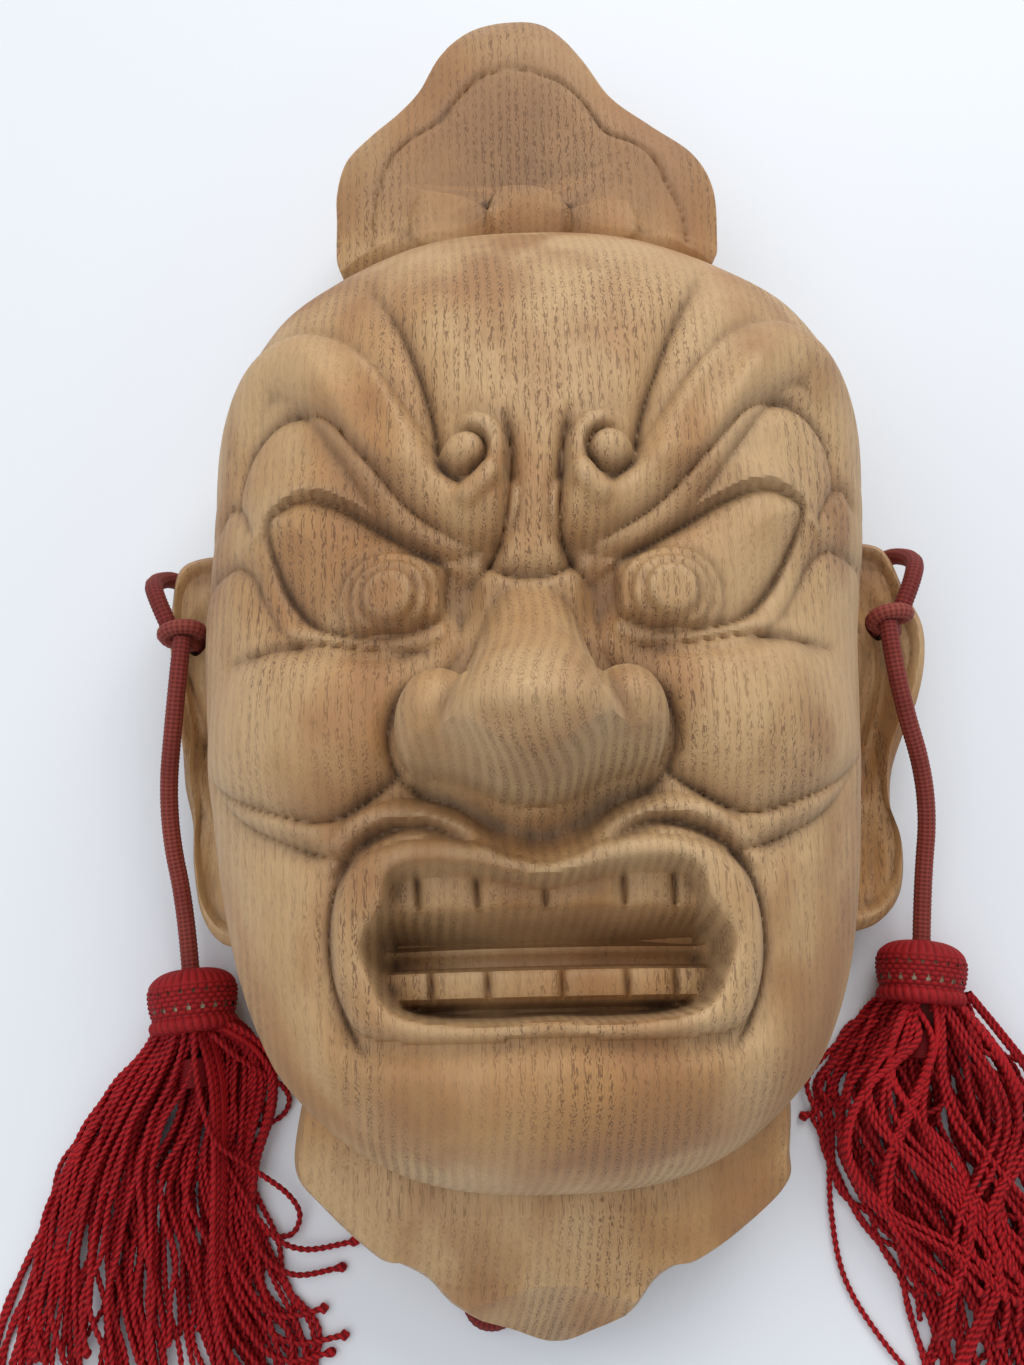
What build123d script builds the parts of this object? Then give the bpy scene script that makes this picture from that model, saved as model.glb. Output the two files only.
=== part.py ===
from build123d import *
import math
import os

# Wall mask of a temple guardian, carved from one block of wood, lying on its back rim.
# Millimetres. X runs from ear to ear, +Y towards the topknot, +Z out of the face.
# The origin is at the middle of the carved head's box, on the surface that the rim lies on.

# ---------------------------------------------------------------- driving dimensions
# Face shell
face_half_width = 78.0      # temples and cheeks
face_top = 100.0            # hairline at the foot of the topknot
face_bottom = 144.0         # underside of the chin, below the origin
brow_height = 90.0          # brow ridge above the rim
wall = 14.0                 # wood left at the sides of the hollow
front_wall = 16.0           # wood left behind the face
# Nose, eyes, mouth
nose_height = 121.0
nose_tip_radius = 19.0
nose_tip_y = -66.0
nostril_radius = 13.0
eye_radius = 17.0
eye_spacing = 58.0
eye_y = -27.0
mouth_half_width = 38.0
mouth_top = -84.0
mouth_bottom = -115.0
lip_radius = 5.0
tooth_width = 12.5
tooth_height = 9.0
tooth_count = 5
# Ears
ear_reach = 20.5            # how far an ear stands out from the temple
ear_back = 10.0             # underside of an ear above the rim
ear_front = 29.0            # front of the ear at its hole
lobe_front = 14.0           # front of the ear at its lobe
ear_hole_radius = 3.2
ear_hole_in = 8.0           # hole centre, out from the temple
ear_hole_y = -17.0
# Neck below the chin, ending in a point
neck_point = 180.0
neck_half_width = 60.0
neck_back = 7.0             # lifted off the surface so the cord can pass under
neck_front = 30.0
cord_passage_width = 34.0   # clear way for the cord's fold under the chin
# Topknot
topknot_top = 180.0
topknot_half_width = 54.0
topknot_foot_front = 38.0
topknot_top_front = 50.0
# Cord and tassels
cord_diameter = 4.5
cord_clearance = 0.3
loop_knot_size = (11.0, 7.0, 8.6)
cap_radius = 10.75
cap_length = 12.0
cap_wall = 1.2
collar_length = 3.0
core_length = 11.0
stopper_radius = 4.0
binding_radius = 8.0
binding_length = 7.0

# Loops round the ears: from the knot over the ear's edge, behind it, and up through the hole.
LEFT_LOOP = [(-90.5, -15.5, 35.5), (-94, -8, 37), (-97.5, -1, 27), (-96, 5, 14.5),
             (-90.5, 2.5, 4), (-86, -17, 3.4), (-86, -17, 32)]
RIGHT_LOOP = [(89.5, -15.5, 35.5), (93.5, -7, 37), (97, 1, 27), (94.5, 7, 14.5),
              (89, 3, 4), (86, -17, 3.4), (86, -17, 32)]
# Tassel cords: from the ear knot, over the ear and down beside it to the stopper in the tassel.
LEFT_CORD = [(-86.4, -20, 36.5), (-87.2, -35.5, 36), (-92.6, -60, 20), (-87.6, -86, 11.2),
             (-84.9, -111.8, 11)]
RIGHT_CORD = [(85.2, -20, 36.5), (85.4, -35.5, 36.5), (95.4, -59, 22), (93.66, -83.5, 11.2),
              (90.5, -109.2, 11)]
# Hanging cord behind the mask, from ear to ear, with a tight fold showing under the neck.
HANGING_CORD = [(-87.2, -10, 3.6), (-74, -14, 3.4), (-55, -34, 3.2), (-38, -70, 3), (-21, -108, 3),
                (-18, -146, 3), (-19.6, -166, 3), (-19, -176.5, 3), (-10.4, -177, 3),
                (-9.6, -166.5, 3), (-11, -146, 3), (-3, -108, 3), (24, -80, 3), (46, -42, 3.2),
                (74, -14, 3.4), (86.6, -10, 3.6)]
# Tassel axes: top of the cap, and the skirt's stations (x, y, width, thickness).
LEFT_TASSEL = (-86.5, -96.4, 11)
RIGHT_TASSEL = (92.4, -93.7, 11)
LEFT_SKIRT = [(-87, -128, 44, 15), (-91, -146, 56, 12), (-89, -168, 80, 9), (-88, -203, 82, 6)]
RIGHT_SKIRT = [(90, -125, 46, 15), (95, -148, 64, 12), (101, -172, 76, 9), (104, -203, 74, 6)]

os.makedirs("parts", exist_ok=True)
SIDES = {"left": -1, "right": 1}


# ---------------------------------------------------------------- carved head
def arch(y, half_width, height, bottom=0.0):
    """One cross-section of the face: a flattened arch standing on the rim plane."""
    points = []
    for step in range(13):
        angle = math.pi * step / 12
        x = half_width * math.copysign(abs(math.cos(angle)) ** 0.72, math.cos(angle))
        points.append((x, bottom + height * math.sin(angle) ** 0.62))
    plane = Plane(origin=(0, y, 0), x_dir=(1, 0, 0), z_dir=(0, -1, 0))
    outline = [Spline(*points), Line(points[-1], points[0])]
    return plane * make_face(Wire(outline))


# Stations down the face: share of the length, of the half width and of the brow height.
FACE_STATIONS = [(0.0, 0.28, 0.18), (0.012, 0.44, 0.34), (0.04, 0.60, 0.52), (0.09, 0.745, 0.69),
                 (0.165, 0.865, 0.86), (0.265, 0.955, 0.965), (0.39, 1.0, 1.0), (0.53, 0.987, 0.955),
                 (0.675, 0.95, 0.91), (0.80, 0.88, 0.89), (0.893, 0.77, 0.87), (0.95, 0.64, 0.78),
                 (0.987, 0.49, 0.64), (1.0, 0.38, 0.53)]
face_length = face_top + face_bottom


def face_arches(side_inset, front_inset, end_inset):
    """Arches of the face, shrunk by a wall at the sides, the front and both ends."""
    arches = []
    for share, width_share, height_share in FACE_STATIONS:
        y = face_top - end_inset - share * (face_length - 2 * end_inset)
        half_width = face_half_width * width_share - side_inset
        height = brow_height * height_share - front_inset
        if half_width > 4 and height > 4:
            arches.append(arch(y, half_width, height))
    return arches


shell = loft(face_arches(0, 0, 0))
hollow = loft(face_arches(wall, front_wall, wall))
hollow_mouth = Pos(0, 0, -0.5) * hollow

# Nose: a round tip, two wings and a bridge that runs up between the eyes.
tip_z = nose_height - nose_tip_radius
head = shell + Pos(0, nose_tip_y, tip_z) * Sphere(nose_tip_radius)
for side in SIDES.values():
    head += Pos(side * 16, nose_tip_y + 4, tip_z - 9) * Sphere(nostril_radius)
bridge_path = Line((0, nose_tip_y, tip_z), (0, eye_y + 2, brow_height - 6))
bridge_plane = Plane(origin=bridge_path @ 0, z_dir=bridge_path % 0)
bridge = extrude(bridge_plane * Circle(nose_tip_radius * 0.8), bridge_path.length, taper=7)
head += bridge

# Brows, eyes, cheeks, chin and lips.
for side in SIDES.values():
    eye_x = side * eye_spacing / 2
    head += Pos(eye_x, eye_y, brow_height - eye_radius - 3) * Sphere(eye_radius)
    head += Pos(side * 38, nose_tip_y + 16, brow_height - 38) * Sphere(31)
    brow_points = [(side * 9, eye_y + 12, brow_height - 4), (side * 19, eye_y + 22, brow_height - 3),
                   (side * 36, eye_y + 30, brow_height - 6), (side * 56, eye_y + 27, brow_height - 17),
                   (side * 66, eye_y + 8, brow_height - 30)]
    brow_path = FilletPolyline(*brow_points, radius=7)
    brow_start = Plane(origin=brow_path @ 0, z_dir=brow_path % 0)
    head += sweep(brow_start * Circle(7), path=brow_path)
head += Pos(0, -face_bottom + 32, brow_height - 40) * Sphere(33)

mouth_middle = (mouth_top + mouth_bottom) / 2
mouth_height = mouth_top - mouth_bottom
lip_plane = Plane(origin=(0, mouth_middle, brow_height - 12))
lips = lip_plane * RectangleRounded(2 * mouth_half_width, mouth_height, mouth_height / 2 - 1)
head += extrude(offset(lips, lip_radius), 9)
mouth_floor = brow_height - 17
mouth = Pos(0, 0, mouth_floor - lip_plane.origin.Z) * extrude(offset(lips, -1), 40)
head -= mouth
for row_y in (mouth_top - tooth_height / 2 - 1.5, mouth_bottom + tooth_height / 2 + 1.5):
    for column in range(tooth_count):
        tooth_x = (column - (tooth_count - 1) / 2) * (tooth_width + 0.6)
        tooth_spot = Pos(tooth_x, row_y, mouth_floor + 3)
        head += tooth_spot * Box(tooth_width, tooth_height, 8)

# Neck: a flat tongue below the chin, with scalloped shoulders and a point.
neck_outline = [(neck_half_width, -120), (neck_half_width - 1, -face_bottom),
                (neck_half_width * 0.71, -neck_point + 25), (neck_half_width * 0.54, -neck_point + 18),
                (neck_half_width * 0.38, -neck_point + 17), (neck_half_width * 0.30, -neck_point + 10),
                (0, -neck_point)]
mirrored_outline = [(-x, y) for x, y in reversed(neck_outline[:-1])]
neck_face = make_face(Polyline(*neck_outline, *mirrored_outline, close=True))
neck = Pos(0, 0, neck_back) * extrude(neck_face, neck_front - neck_back, dir=(0, 0, 1))
head += neck
head -= hollow_mouth
passage_start = -face_bottom + 2 * wall
passage_end = -neck_point - wall
neck_passage = Box(cord_passage_width, passage_start - passage_end, 2 * neck_back)
head -= Pos(-15, (passage_start + passage_end) / 2, 0) * neck_passage

# Topknot: a bound bun of hair above the forehead, leaning forward, with a tied ribbon.
bun_foot = face_top - 16
bun_outline = [(topknot_half_width, bun_foot), (topknot_half_width + 1, bun_foot + 20),
               (topknot_half_width - 4, bun_foot + 38), (topknot_half_width * 0.79, bun_foot + 54),
               (topknot_half_width * 0.56, bun_foot + 68), (topknot_half_width * 0.3, topknot_top - 12)]


def bun_section(z, share):
    """The topknot's outline at one height, drawn in towards its foot by a share."""
    right = [(share * x, bun_foot + share * (y - bun_foot)) for x, y in bun_outline]
    left = [(-x, y) for x, y in reversed(right)]
    edge = Spline(*right, (0, bun_foot + share * (topknot_top - bun_foot)), *left)
    return Pos(0, 0, z) * make_face(Wire([edge, Line(edge @ 1, edge @ 0)]))


bun = loft([bun_section(0, 1.0), bun_section(topknot_top_front + 4, 0.9)], ruled=True)
bun_side = [(bun_foot - 1, -1), (bun_foot - 1, topknot_foot_front), (topknot_top - 20, topknot_top_front),
            (topknot_top + 1, topknot_top_front - 6), (topknot_top + 1, -1)]
side_plane = Plane(origin=(-topknot_half_width - 2, 0, 0), x_dir=(0, 1, 0), z_dir=(1, 0, 0))
bun_slab = side_plane * make_face(Polyline(*bun_side, close=True))
bun &= extrude(bun_slab, 2 * topknot_half_width + 4, dir=(1, 0, 0))
head += bun
ribbon_y = face_top + 16
for ribbon_x, ribbon_width in ((-26, 20), (0, 24), (26, 20)):
    head += Pos(ribbon_x, ribbon_y, topknot_foot_front + 5) * Box(ribbon_width, 12, 9)


# Ears: long-lobed, standing out from the temples, each with a hole for its cord.
def ear(side):
    root = face_half_width - 12
    edge = face_half_width + ear_reach
    outline = [(root, 5.5), (edge - 12.5, 5.5), (edge - 8, 1), (edge - 5, -8), (edge - 0.5, -17),
               (edge, -26), (edge - 2.5, -36), (edge - 7, -44), (edge - 11, -53), (edge - 12, -66),
               (edge - 12.2, -78), (edge - 14.5, -86), (edge - 20, -91), (root, -91)]
    plate = make_face(Polyline(*[(side * x, y) for x, y in outline], close=True))
    body = Pos(0, 0, ear_back) * extrude(plate, ear_front - ear_back, dir=(0, 0, 1))
    slope = [(7, ear_back - 1), (7, ear_front - 4), (2, ear_front), (-24, ear_front),
             (-62, lobe_front + 2), (-92, lobe_front), (-92, ear_back - 1)]
    slope_plane = Plane(origin=(-edge - 1, 0, 0), x_dir=(0, 1, 0), z_dir=(1, 0, 0))
    body &= extrude(slope_plane * make_face(Polyline(*slope, close=True)), 2 * edge + 2, dir=(1, 0, 0))
    conch = Pos(side * (face_half_width + 9), -42, ear_front) * Box(9, 22, 16)
    hole_x = side * (face_half_width + ear_hole_in)
    hole = Pos(hole_x, ear_hole_y, 20) * Cylinder(ear_hole_radius, 60)
    return body - conch - hole


for side in SIDES.values():
    head += ear(side) - hollow_mouth
    rim_notch = Pos(side * (face_half_width - 6), -17, 0) * Box(wall + 16, 26, 2 * neck_back)
    head -= rim_notch

head = max(head.solids(), key=lambda solid: solid.volume)
export_step(head, "parts/carved_head.step")


# ---------------------------------------------------------------- cords
def cord_tube(name, points):
    """A round cord along straight runs, joined by arcs as large as the runs allow."""
    runs = [Vector(b) - Vector(a) for a, b in zip(points, points[1:])]
    radii = []
    for before, after in zip(runs, runs[1:]):
        half_turn = math.radians(before.get_angle(after) / 2)
        radii.append(0.45 * min(before.length, after.length) / math.tan(half_turn))
    path = FilletPolyline(*points, radius=radii)
    section = Plane(origin=path @ 0, z_dir=path % 0) * Circle(cord_diameter / 2)
    tube = sweep(section, path=path)
    expected = math.pi * cord_diameter ** 2 / 4 * path.length
    print(name, "length", round(path.length, 1), "volume share", round(tube.volume / expected, 4),
          "radii", [round(radius, 1) for radius in radii])
    return tube


def ear_knot(centre, loop, cord):
    """The overhand knot at the ear: a rounded barrel that the loop and the cord end in."""
    width, height, depth = loop_knot_size
    barrel = Pos(*centre) * extrude(Plane.YZ * Ellipse(height / 2, depth / 2), width / 2, both=True)
    barrel = chamfer(barrel.edges(), 1.2)
    return barrel - loop - cord


# ---------------------------------------------------------------- tassels
def tassel_pieces(top, route, cord, skirt_stations):
    """Everything at the end of a tassel cord, on the cord's own last run."""
    end = Vector(route[-1])
    along = (end - Vector(top)).normalized()
    frame = Plane(origin=top, x_dir=Vector(0, 0, 1).cross(along), z_dir=along)
    bore = cord_diameter / 2 + cord_clearance
    core_radius = cap_radius - cap_wall - cord_clearance

    def dome(radius, start, length):
        shoulder = min(0.55 * radius, length * 0.6)
        profile = [Line((bore, start), (radius - shoulder, start)),
                   TangentArc((radius - shoulder, start), (radius, start + shoulder), tangent=(1, 0)),
                   Line((radius, start + shoulder), (radius, start + length)),
                   Line((radius, start + length), (bore, start + length)),
                   Line((bore, start + length), (bore, start))]
        turned = revolve(Plane.XZ * make_face(Wire(profile)), Axis.Z)
        return frame * turned

    core = dome(core_radius, cap_wall + cord_clearance, core_length)
    cap = dome(cap_radius, 0, cap_length)
    cap -= dome(core_radius + cord_clearance, cap_wall, cap_length + 4)
    core_end = cap_wall + cord_clearance + core_length
    collar = frame * Pos(0, 0, cap_length + collar_length / 2) * Cylinder(cap_radius, collar_length)
    collar -= frame * Pos(0, 0, cap_length) * Cylinder(cap_radius - cap_wall, 4 * collar_length)
    stopper = frame * Pos(0, 0, core_end + stopper_radius) * Sphere(stopper_radius)
    stopper -= cord
    binding_start = core_end + 2 * stopper_radius + 0.4
    binding = frame * Pos(0, 0, binding_start + binding_length / 2) * Cylinder(binding_radius, binding_length)
    binding -= frame * Pos(0, 0, binding_start) * Cylinder(binding_radius - 1.2, 3 * binding_length)

    skirt_start = cap_length + collar_length + cord_clearance
    neck_section = frame * Pos(0, 0, skirt_start) * Circle(cap_radius - cap_wall)
    sections = [neck_section]
    for x, y, width, thickness in skirt_stations:
        plane = Plane(origin=(x, y, 0.4 + thickness / 2), x_dir=(1, 0, 0), z_dir=(0, -1, 0))
        sections.append(plane * Ellipse(width / 2, thickness / 2))
    skirt = loft(sections, ruled=True)
    skirt -= frame * Pos(0, 0, binding_start + binding_length / 2) * Cylinder(
        binding_radius + cord_clearance, binding_length + 2 * cord_clearance)
    skirt -= frame * Pos(0, 0, core_end + stopper_radius) * Sphere(stopper_radius + cord_clearance)
    return {"core": core, "cap": cap, "collar": collar, "stopper_knot": stopper,
            "binding": binding, "skirt": skirt}


# ---------------------------------------------------------------- cords and tassels on each side
loops = {"left": cord_tube("left_ear_loop", LEFT_LOOP), "right": cord_tube("right_ear_loop", RIGHT_LOOP)}
cord_routes = {"left": LEFT_CORD, "right": RIGHT_CORD}
knot_centres = {"left": (-87, -18.5, 35.4), "right": (86, -18.5, 35.4)}
cap_tops = {"left": LEFT_TASSEL, "right": RIGHT_TASSEL}
skirt_routes = {"left": LEFT_SKIRT, "right": RIGHT_SKIRT}

for side_name in SIDES:
    loop = loops[side_name]
    cord = cord_tube(side_name + "_tassel_cord", cord_routes[side_name])
    knot = ear_knot(knot_centres[side_name], loop, cord)
    pieces = tassel_pieces(cap_tops[side_name], cord_routes[side_name], cord, skirt_routes[side_name])
    pieces["ear_loop"] = loop
    pieces["ear_knot"] = knot
    pieces["tassel_cord"] = cord
    for piece_name, piece in pieces.items():
        node = side_name + "_" + piece_name
        if piece_name in ("core", "cap", "collar", "binding", "skirt", "stopper_knot"):
            node = side_name + "_tassel_" + piece_name
        export_step(piece, "parts/" + node + ".step")

hanging_cord = cord_tube("hanging_cord", HANGING_CORD) - loops["left"] - loops["right"]
export_step(hanging_cord, "parts/hanging_cord.step")
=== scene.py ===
import math
import bmesh
import bpy
import numpy as np
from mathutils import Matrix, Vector


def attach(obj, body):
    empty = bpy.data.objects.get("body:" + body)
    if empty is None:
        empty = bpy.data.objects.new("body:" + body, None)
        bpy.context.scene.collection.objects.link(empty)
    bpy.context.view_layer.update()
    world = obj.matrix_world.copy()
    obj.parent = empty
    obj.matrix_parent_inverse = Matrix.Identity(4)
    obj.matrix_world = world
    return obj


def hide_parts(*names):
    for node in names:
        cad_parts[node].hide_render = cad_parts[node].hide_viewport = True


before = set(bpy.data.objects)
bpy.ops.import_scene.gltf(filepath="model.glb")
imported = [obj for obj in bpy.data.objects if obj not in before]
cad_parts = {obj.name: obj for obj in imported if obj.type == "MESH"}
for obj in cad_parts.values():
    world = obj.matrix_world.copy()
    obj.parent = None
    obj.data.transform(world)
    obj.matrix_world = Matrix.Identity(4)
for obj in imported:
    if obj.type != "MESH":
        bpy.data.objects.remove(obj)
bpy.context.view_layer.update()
MM = 0.001

# ================================================================ view, floor and light
# The mask lies on its back on a pale painted table, under soft daylight from a window beyond its
# topknot and a dimmer ceiling. It is looked at from above, a little from below the chin.
camera_data = bpy.data.cameras.new("camera")
camera_data.lens = 30
camera_data.sensor_width = 36
camera_data.clip_start = 0.01
camera = bpy.data.objects.new("camera", camera_data)
bpy.context.collection.objects.link(camera)
camera.location = (-0.0065, -0.1127, 0.2972)
camera.rotation_mode = "ZYX"
camera.rotation_euler = (math.radians(17), 0, math.radians(-1.3))
bpy.context.scene.camera = camera

bpy.ops.object.select_all(action="DESELECT")
bpy.ops.mesh.primitive_plane_add(size=4, location=(0, 0, -0.0002))
floor = bpy.context.object
floor.name = "table_top"
floor_paint = bpy.data.materials.new("pale_table")
floor_paint.use_nodes = True
floor_shader = floor_paint.node_tree.nodes["Principled BSDF"]
floor_shader.inputs["Base Color"].default_value = (0.80, 0.83, 0.87, 1)
floor_shader.inputs["Roughness"].default_value = 0.6
floor.data.materials.append(floor_paint)

world = bpy.data.worlds.new("room_light")
bpy.context.scene.world = world
world.use_nodes = True
world.node_tree.nodes["Background"].inputs["Color"].default_value = (0.92, 0.95, 1.0, 1)
world.node_tree.nodes["Background"].inputs["Strength"].default_value = 0.55


def soft_lamp(name, place, target, size, power, colour):
    lamp_data = bpy.data.lights.new(name, "AREA")
    lamp_data.size = size
    lamp_data.energy = power
    lamp_data.color = colour
    lamp = bpy.data.objects.new(name, lamp_data)
    bpy.context.collection.objects.link(lamp)
    lamp.location = place
    aim = Vector(target) - Vector(place)
    lamp.rotation_euler = aim.to_track_quat("-Z", "Y").to_euler()


soft_lamp("window", (0.35, 0.9, 0.9), (0, 0, 0.05), 0.9, 9, (1.0, 0.98, 0.95))
soft_lamp("ceiling", (-0.5, -0.1, 1.1), (0, 0, 0.05), 1.2, 5, (0.95, 0.97, 1.0))
bpy.context.scene.view_settings.view_transform = "Standard"

# ================================================================ carved head
# One block of open-grained hardwood, carved in the round at the front and hollowed behind.
# A domed blank is set out first, then the features are cut into it as crisp creases between
# rounded forms, and the ears, neck and topknot belong to the same block.

# Stations of the blank down the face: y, half width, height above the rim, in millimetres.
BLANK = np.array([(103.5, 5, 0.02), (102, 20, 9), (99, 31, 20), (94, 38, 33), (88, 42, 44), (79, 48.5, 56.5),
                  (71, 56, 65), (62, 65.5, 72.5), (52, 74.5, 79), (35, 80, 85.5), (5, 81.5, 89),
                  (-30, 79.8, 86), (-65, 76.8, 82), (-95, 71.5, 80), (-118, 62.3, 79), (-131, 51, 72),
                  (-140, 38, 60), (-145, 24, 42), (-146.5, 14, 24), (-147, 5, 0.02)], float)


def smooth_table(at, places, values):
    """A smooth curve through a few given values (monotone cubic)."""
    order = np.argsort(places)
    px, py = np.asarray(places, float)[order], np.asarray(values, float)[order]
    step = np.diff(px)
    slope = np.diff(py) / step
    tangent = np.zeros_like(py)
    same = slope[:-1] * slope[1:] > 0
    weight_a, weight_b = 2 * step[1:] + step[:-1], step[1:] + 2 * step[:-1]
    safe = np.where(same, slope[:-1] * slope[1:], 1)
    blended = (weight_a + weight_b) * safe / (weight_a * slope[1:] + weight_b * slope[:-1] + 1e-12)
    tangent[1:-1] = np.where(same, blended, 0)
    tangent[0], tangent[-1] = slope[0], slope[-1]
    at = np.clip(at, px[0], px[-1])
    i = np.clip(np.searchsorted(px, at) - 1, 0, len(step) - 1)
    t = (at - px[i]) / step[i]
    return ((1 + 2 * t) * (1 - t) ** 2 * py[i] + t * (1 - t) ** 2 * step[i] * tangent[i]
            + t * t * (3 - 2 * t) * py[i + 1] + t * t * (t - 1) * step[i] * tangent[i + 1])


def flowing_line(points, spacing=0.8):
    """A smooth line through given points, with any extra values carried along."""
    p = np.asarray(points, float)
    p = np.vstack([2 * p[0] - p[1], p, 2 * p[-1] - p[-2]])
    line = []
    for a, b, c, d in zip(p[:-3], p[1:-2], p[2:-1], p[3:]):
        count = max(2, int(np.linalg.norm(c[:2] - b[:2]) / spacing))
        t = np.linspace(0, 1, count, endpoint=False)[:, None]
        line.append(0.5 * (2 * b + (c - a) * t + (2 * a - 5 * b + 4 * c - d) * t ** 2
                           + (3 * b - a - 3 * c + d) * t ** 3))
    line.append(p[-2][None, :])
    return np.vstack(line)


def arch(stations, rows, columns, even_rows):
    """A domed surface over the given stations: rows along the face, columns from rim to rim."""
    angle = np.linspace(0, math.pi, 4001)
    across = np.sign(np.cos(angle)) * np.abs(np.cos(angle)) ** 0.72
    rise = np.sin(angle) ** 0.62
    length = np.concatenate([[0], np.cumsum(np.hypot(np.diff(78 * across), np.diff(88 * rise)))])
    even = np.linspace(0, length[-1], columns)
    across, rise = np.interp(even, length, across), np.interp(even, length, rise)
    y = np.interp(np.linspace(0, 1, rows), np.linspace(0, 1, len(even_rows)), even_rows)
    half = smooth_table(y, stations[:, 0], stations[:, 1])
    tall = smooth_table(y, stations[:, 0], stations[:, 2])
    return -half[:, None] * across, np.repeat(y[:, None], columns, 1), tall[:, None] * rise


class Carving:
    """A surface being carved: u across (from the feature's own middle line), y along, z outwards."""

    def __init__(self, u, y, z):
        self.u, self.y, self.z = u, y, z

    def near(self, points, side, reach):
        """The surface points near a line: which, how far, on which side, and the line's values there."""
        line = flowing_line(points)
        u = self.u * side
        low, high = line[:, :2].min(0) - reach, line[:, :2].max(0) + reach
        where = (u > low[0]) & (u < high[0]) & (self.y > low[1]) & (self.y < high[1])
        q = np.stack([u[where], self.y[where]], 1)
        best = np.full(len(q), 1e9)
        values = np.zeros((len(q), line.shape[1] - 2))
        facing = np.zeros(len(q))
        for a, b in zip(line[:-1], line[1:]):
            run = b[:2] - a[:2]
            rel = q - a[:2]
            t = np.clip((rel @ run) / max((run ** 2).sum(), 1e-9), 0, 1)
            d = ((rel - t[:, None] * run) ** 2).sum(1)
            closer = d < best
            best[closer] = d[closer]
            values[closer] = a[2:] + t[closer, None] * (b[2:] - a[2:])
            facing[closer] = np.sign(run[0] * rel[closer, 1] - run[1] * rel[closer, 0])
        return where, np.sqrt(best), facing, values[:, 0]

    def crease(self, points, left, right, sides=(-1, 1)):
        """A crisp cut (x, y, depth) with a rounded shoulder on each side of its line."""
        for side in sides:
            where, d, facing, depth = self.near(points, side, max(left, right) + 1)
            t = np.clip(1 - d / np.where(facing > 0, left, right), 0, 1)
            self.z[where] -= depth * (1 - np.sqrt(1 - t ** 2))

    def ridge(self, points, width, power=0.7, sides=(-1, 1)):
        """A rounded raised band (x, y, height) along a line."""
        for side in sides:
            where, d, _, height = self.near(points, side, width + 1)
            self.z[where] += height * np.clip(1 - (d / width) ** 2, 0, 1) ** power

    def trough(self, points, width, sides=(-1, 1)):
        """A soft hollow (x, y, depth) scooped along a line."""
        for side in sides:
            where, d, _, depth = self.near(points, side, width + 1)
            self.z[where] -= depth * 0.5 * (1 + np.cos(np.pi * np.clip(d / width, 0, 1)))

    def lip(self, points, ease, sides=(-1, 1)):
        """An edge (x, y, height) raised on the line's left, easing out over a distance."""
        for side in sides:
            where, d, facing, height = self.near(points, side, ease + 1)
            rise = np.where(facing > 0, np.clip(1 - d / ease, 0, 1) ** 1.5, np.clip(1 - d / 1.3, 0, 1))
            self.z[where] += height * rise

    def swell(self, cx, cy, rx, ry, height, power=1.5, sides=(-1, 1)):
        """A smooth rounded swelling, or with a negative height a hollow."""
        for side in sides:
            q = ((self.u - side * cx) / rx) ** 2 + ((self.y - cy) / ry) ** 2
            self.z += height * np.clip(1 - q, 0, 1) ** power

    def inside(self, points, side=1):
        """Signed distance to a closed outline, positive inside."""
        line = flowing_line([points[-1]] + list(points) + list(points[:2]))
        first = int(np.argmin(np.linalg.norm(line - np.asarray(points[0]), axis=1)))
        turn = len(line) - 1 - int(np.argmin(np.linalg.norm(line[::-1][:len(line) // 2]
                                                            - np.asarray(points[0]), axis=1)))
        line = line[first:turn + 1]
        u = self.u * side
        low, high = line.min(0) - 9, line.max(0) + 9
        where = (u > low[0]) & (u < high[0]) & (self.y > low[1]) & (self.y < high[1])
        q = np.stack([u[where], self.y[where]], 1)
        best = np.full(len(q), 1e9)
        within = np.zeros(len(q), bool)
        for a, b in zip(line, np.roll(line, -1, 0)):
            run = b - a
            rel = q - a
            t = np.clip((rel @ run) / max((run ** 2).sum(), 1e-9), 0, 1)
            best = np.minimum(best, ((rel - t[:, None] * run) ** 2).sum(1))
            crosses = (a[1] > q[:, 1]) != (b[1] > q[:, 1])
            reach = a[0] + (q[:, 1] - a[1]) * run[0] / (run[1] if abs(run[1]) > 1e-9 else 1e-9)
            within ^= crosses & (q[:, 0] < reach)
        signed = np.full(u.shape, -99.0)
        signed[where] = np.where(within, 1, -1) * np.sqrt(best)
        return signed


def soft_max(a, b, blend):
    """The higher of two surfaces, with the corner between them eased."""
    h = np.clip(0.5 + 0.5 * (b - a) / blend, 0, 1)
    return a + (b - a) * h + blend * h * (1 - h)


CARVING_GRID = (470, 560)
ROWS = [103.5, 101.5, 94, 84, 60, 30, 5, -20, -45, -70, -95, -118, -140, -145.8, -147]
blank_x, blank_y, blank_z = arch(BLANK, *CARVING_GRID, ROWS)
# The face leans a little off its own middle line, as handwork does.
middle = smooth_table(blank_y, [-147, -110, -88, -62, -28, 0, 40, 103],
                      [-1, -0.8, -1.2, -2.9, -2.4, -0.4, 0.8, 0])
blank_x = blank_x + smooth_table(blank_y, [-147, -110, -62, -30, 0, 25, 48, 70, 103],
                                 [-0.5, -0.6, -1.5, -1.8, 0.6, 1.6, 2, 1, 0])
face = Carving(blank_x - middle, blank_y, blank_z.copy())
U, Y = face.u, face.y

# Broad forms first: sockets, cheeks, muzzle, chin and the dome of the forehead.
face.swell(35, -22, 30, 22, -6)
face.swell(46, -55, 30, 24, 7)
face.swell(0, -92, 52, 30, 8, sides=(1,))
face.swell(0, -131, 46, 22, 5, sides=(1,))
face.swell(0, 38, 46, 44, 3, sides=(1,))
face.swell(0, -10, 22, 30, 3, sides=(1,))
skin = face.z.copy()

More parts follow.
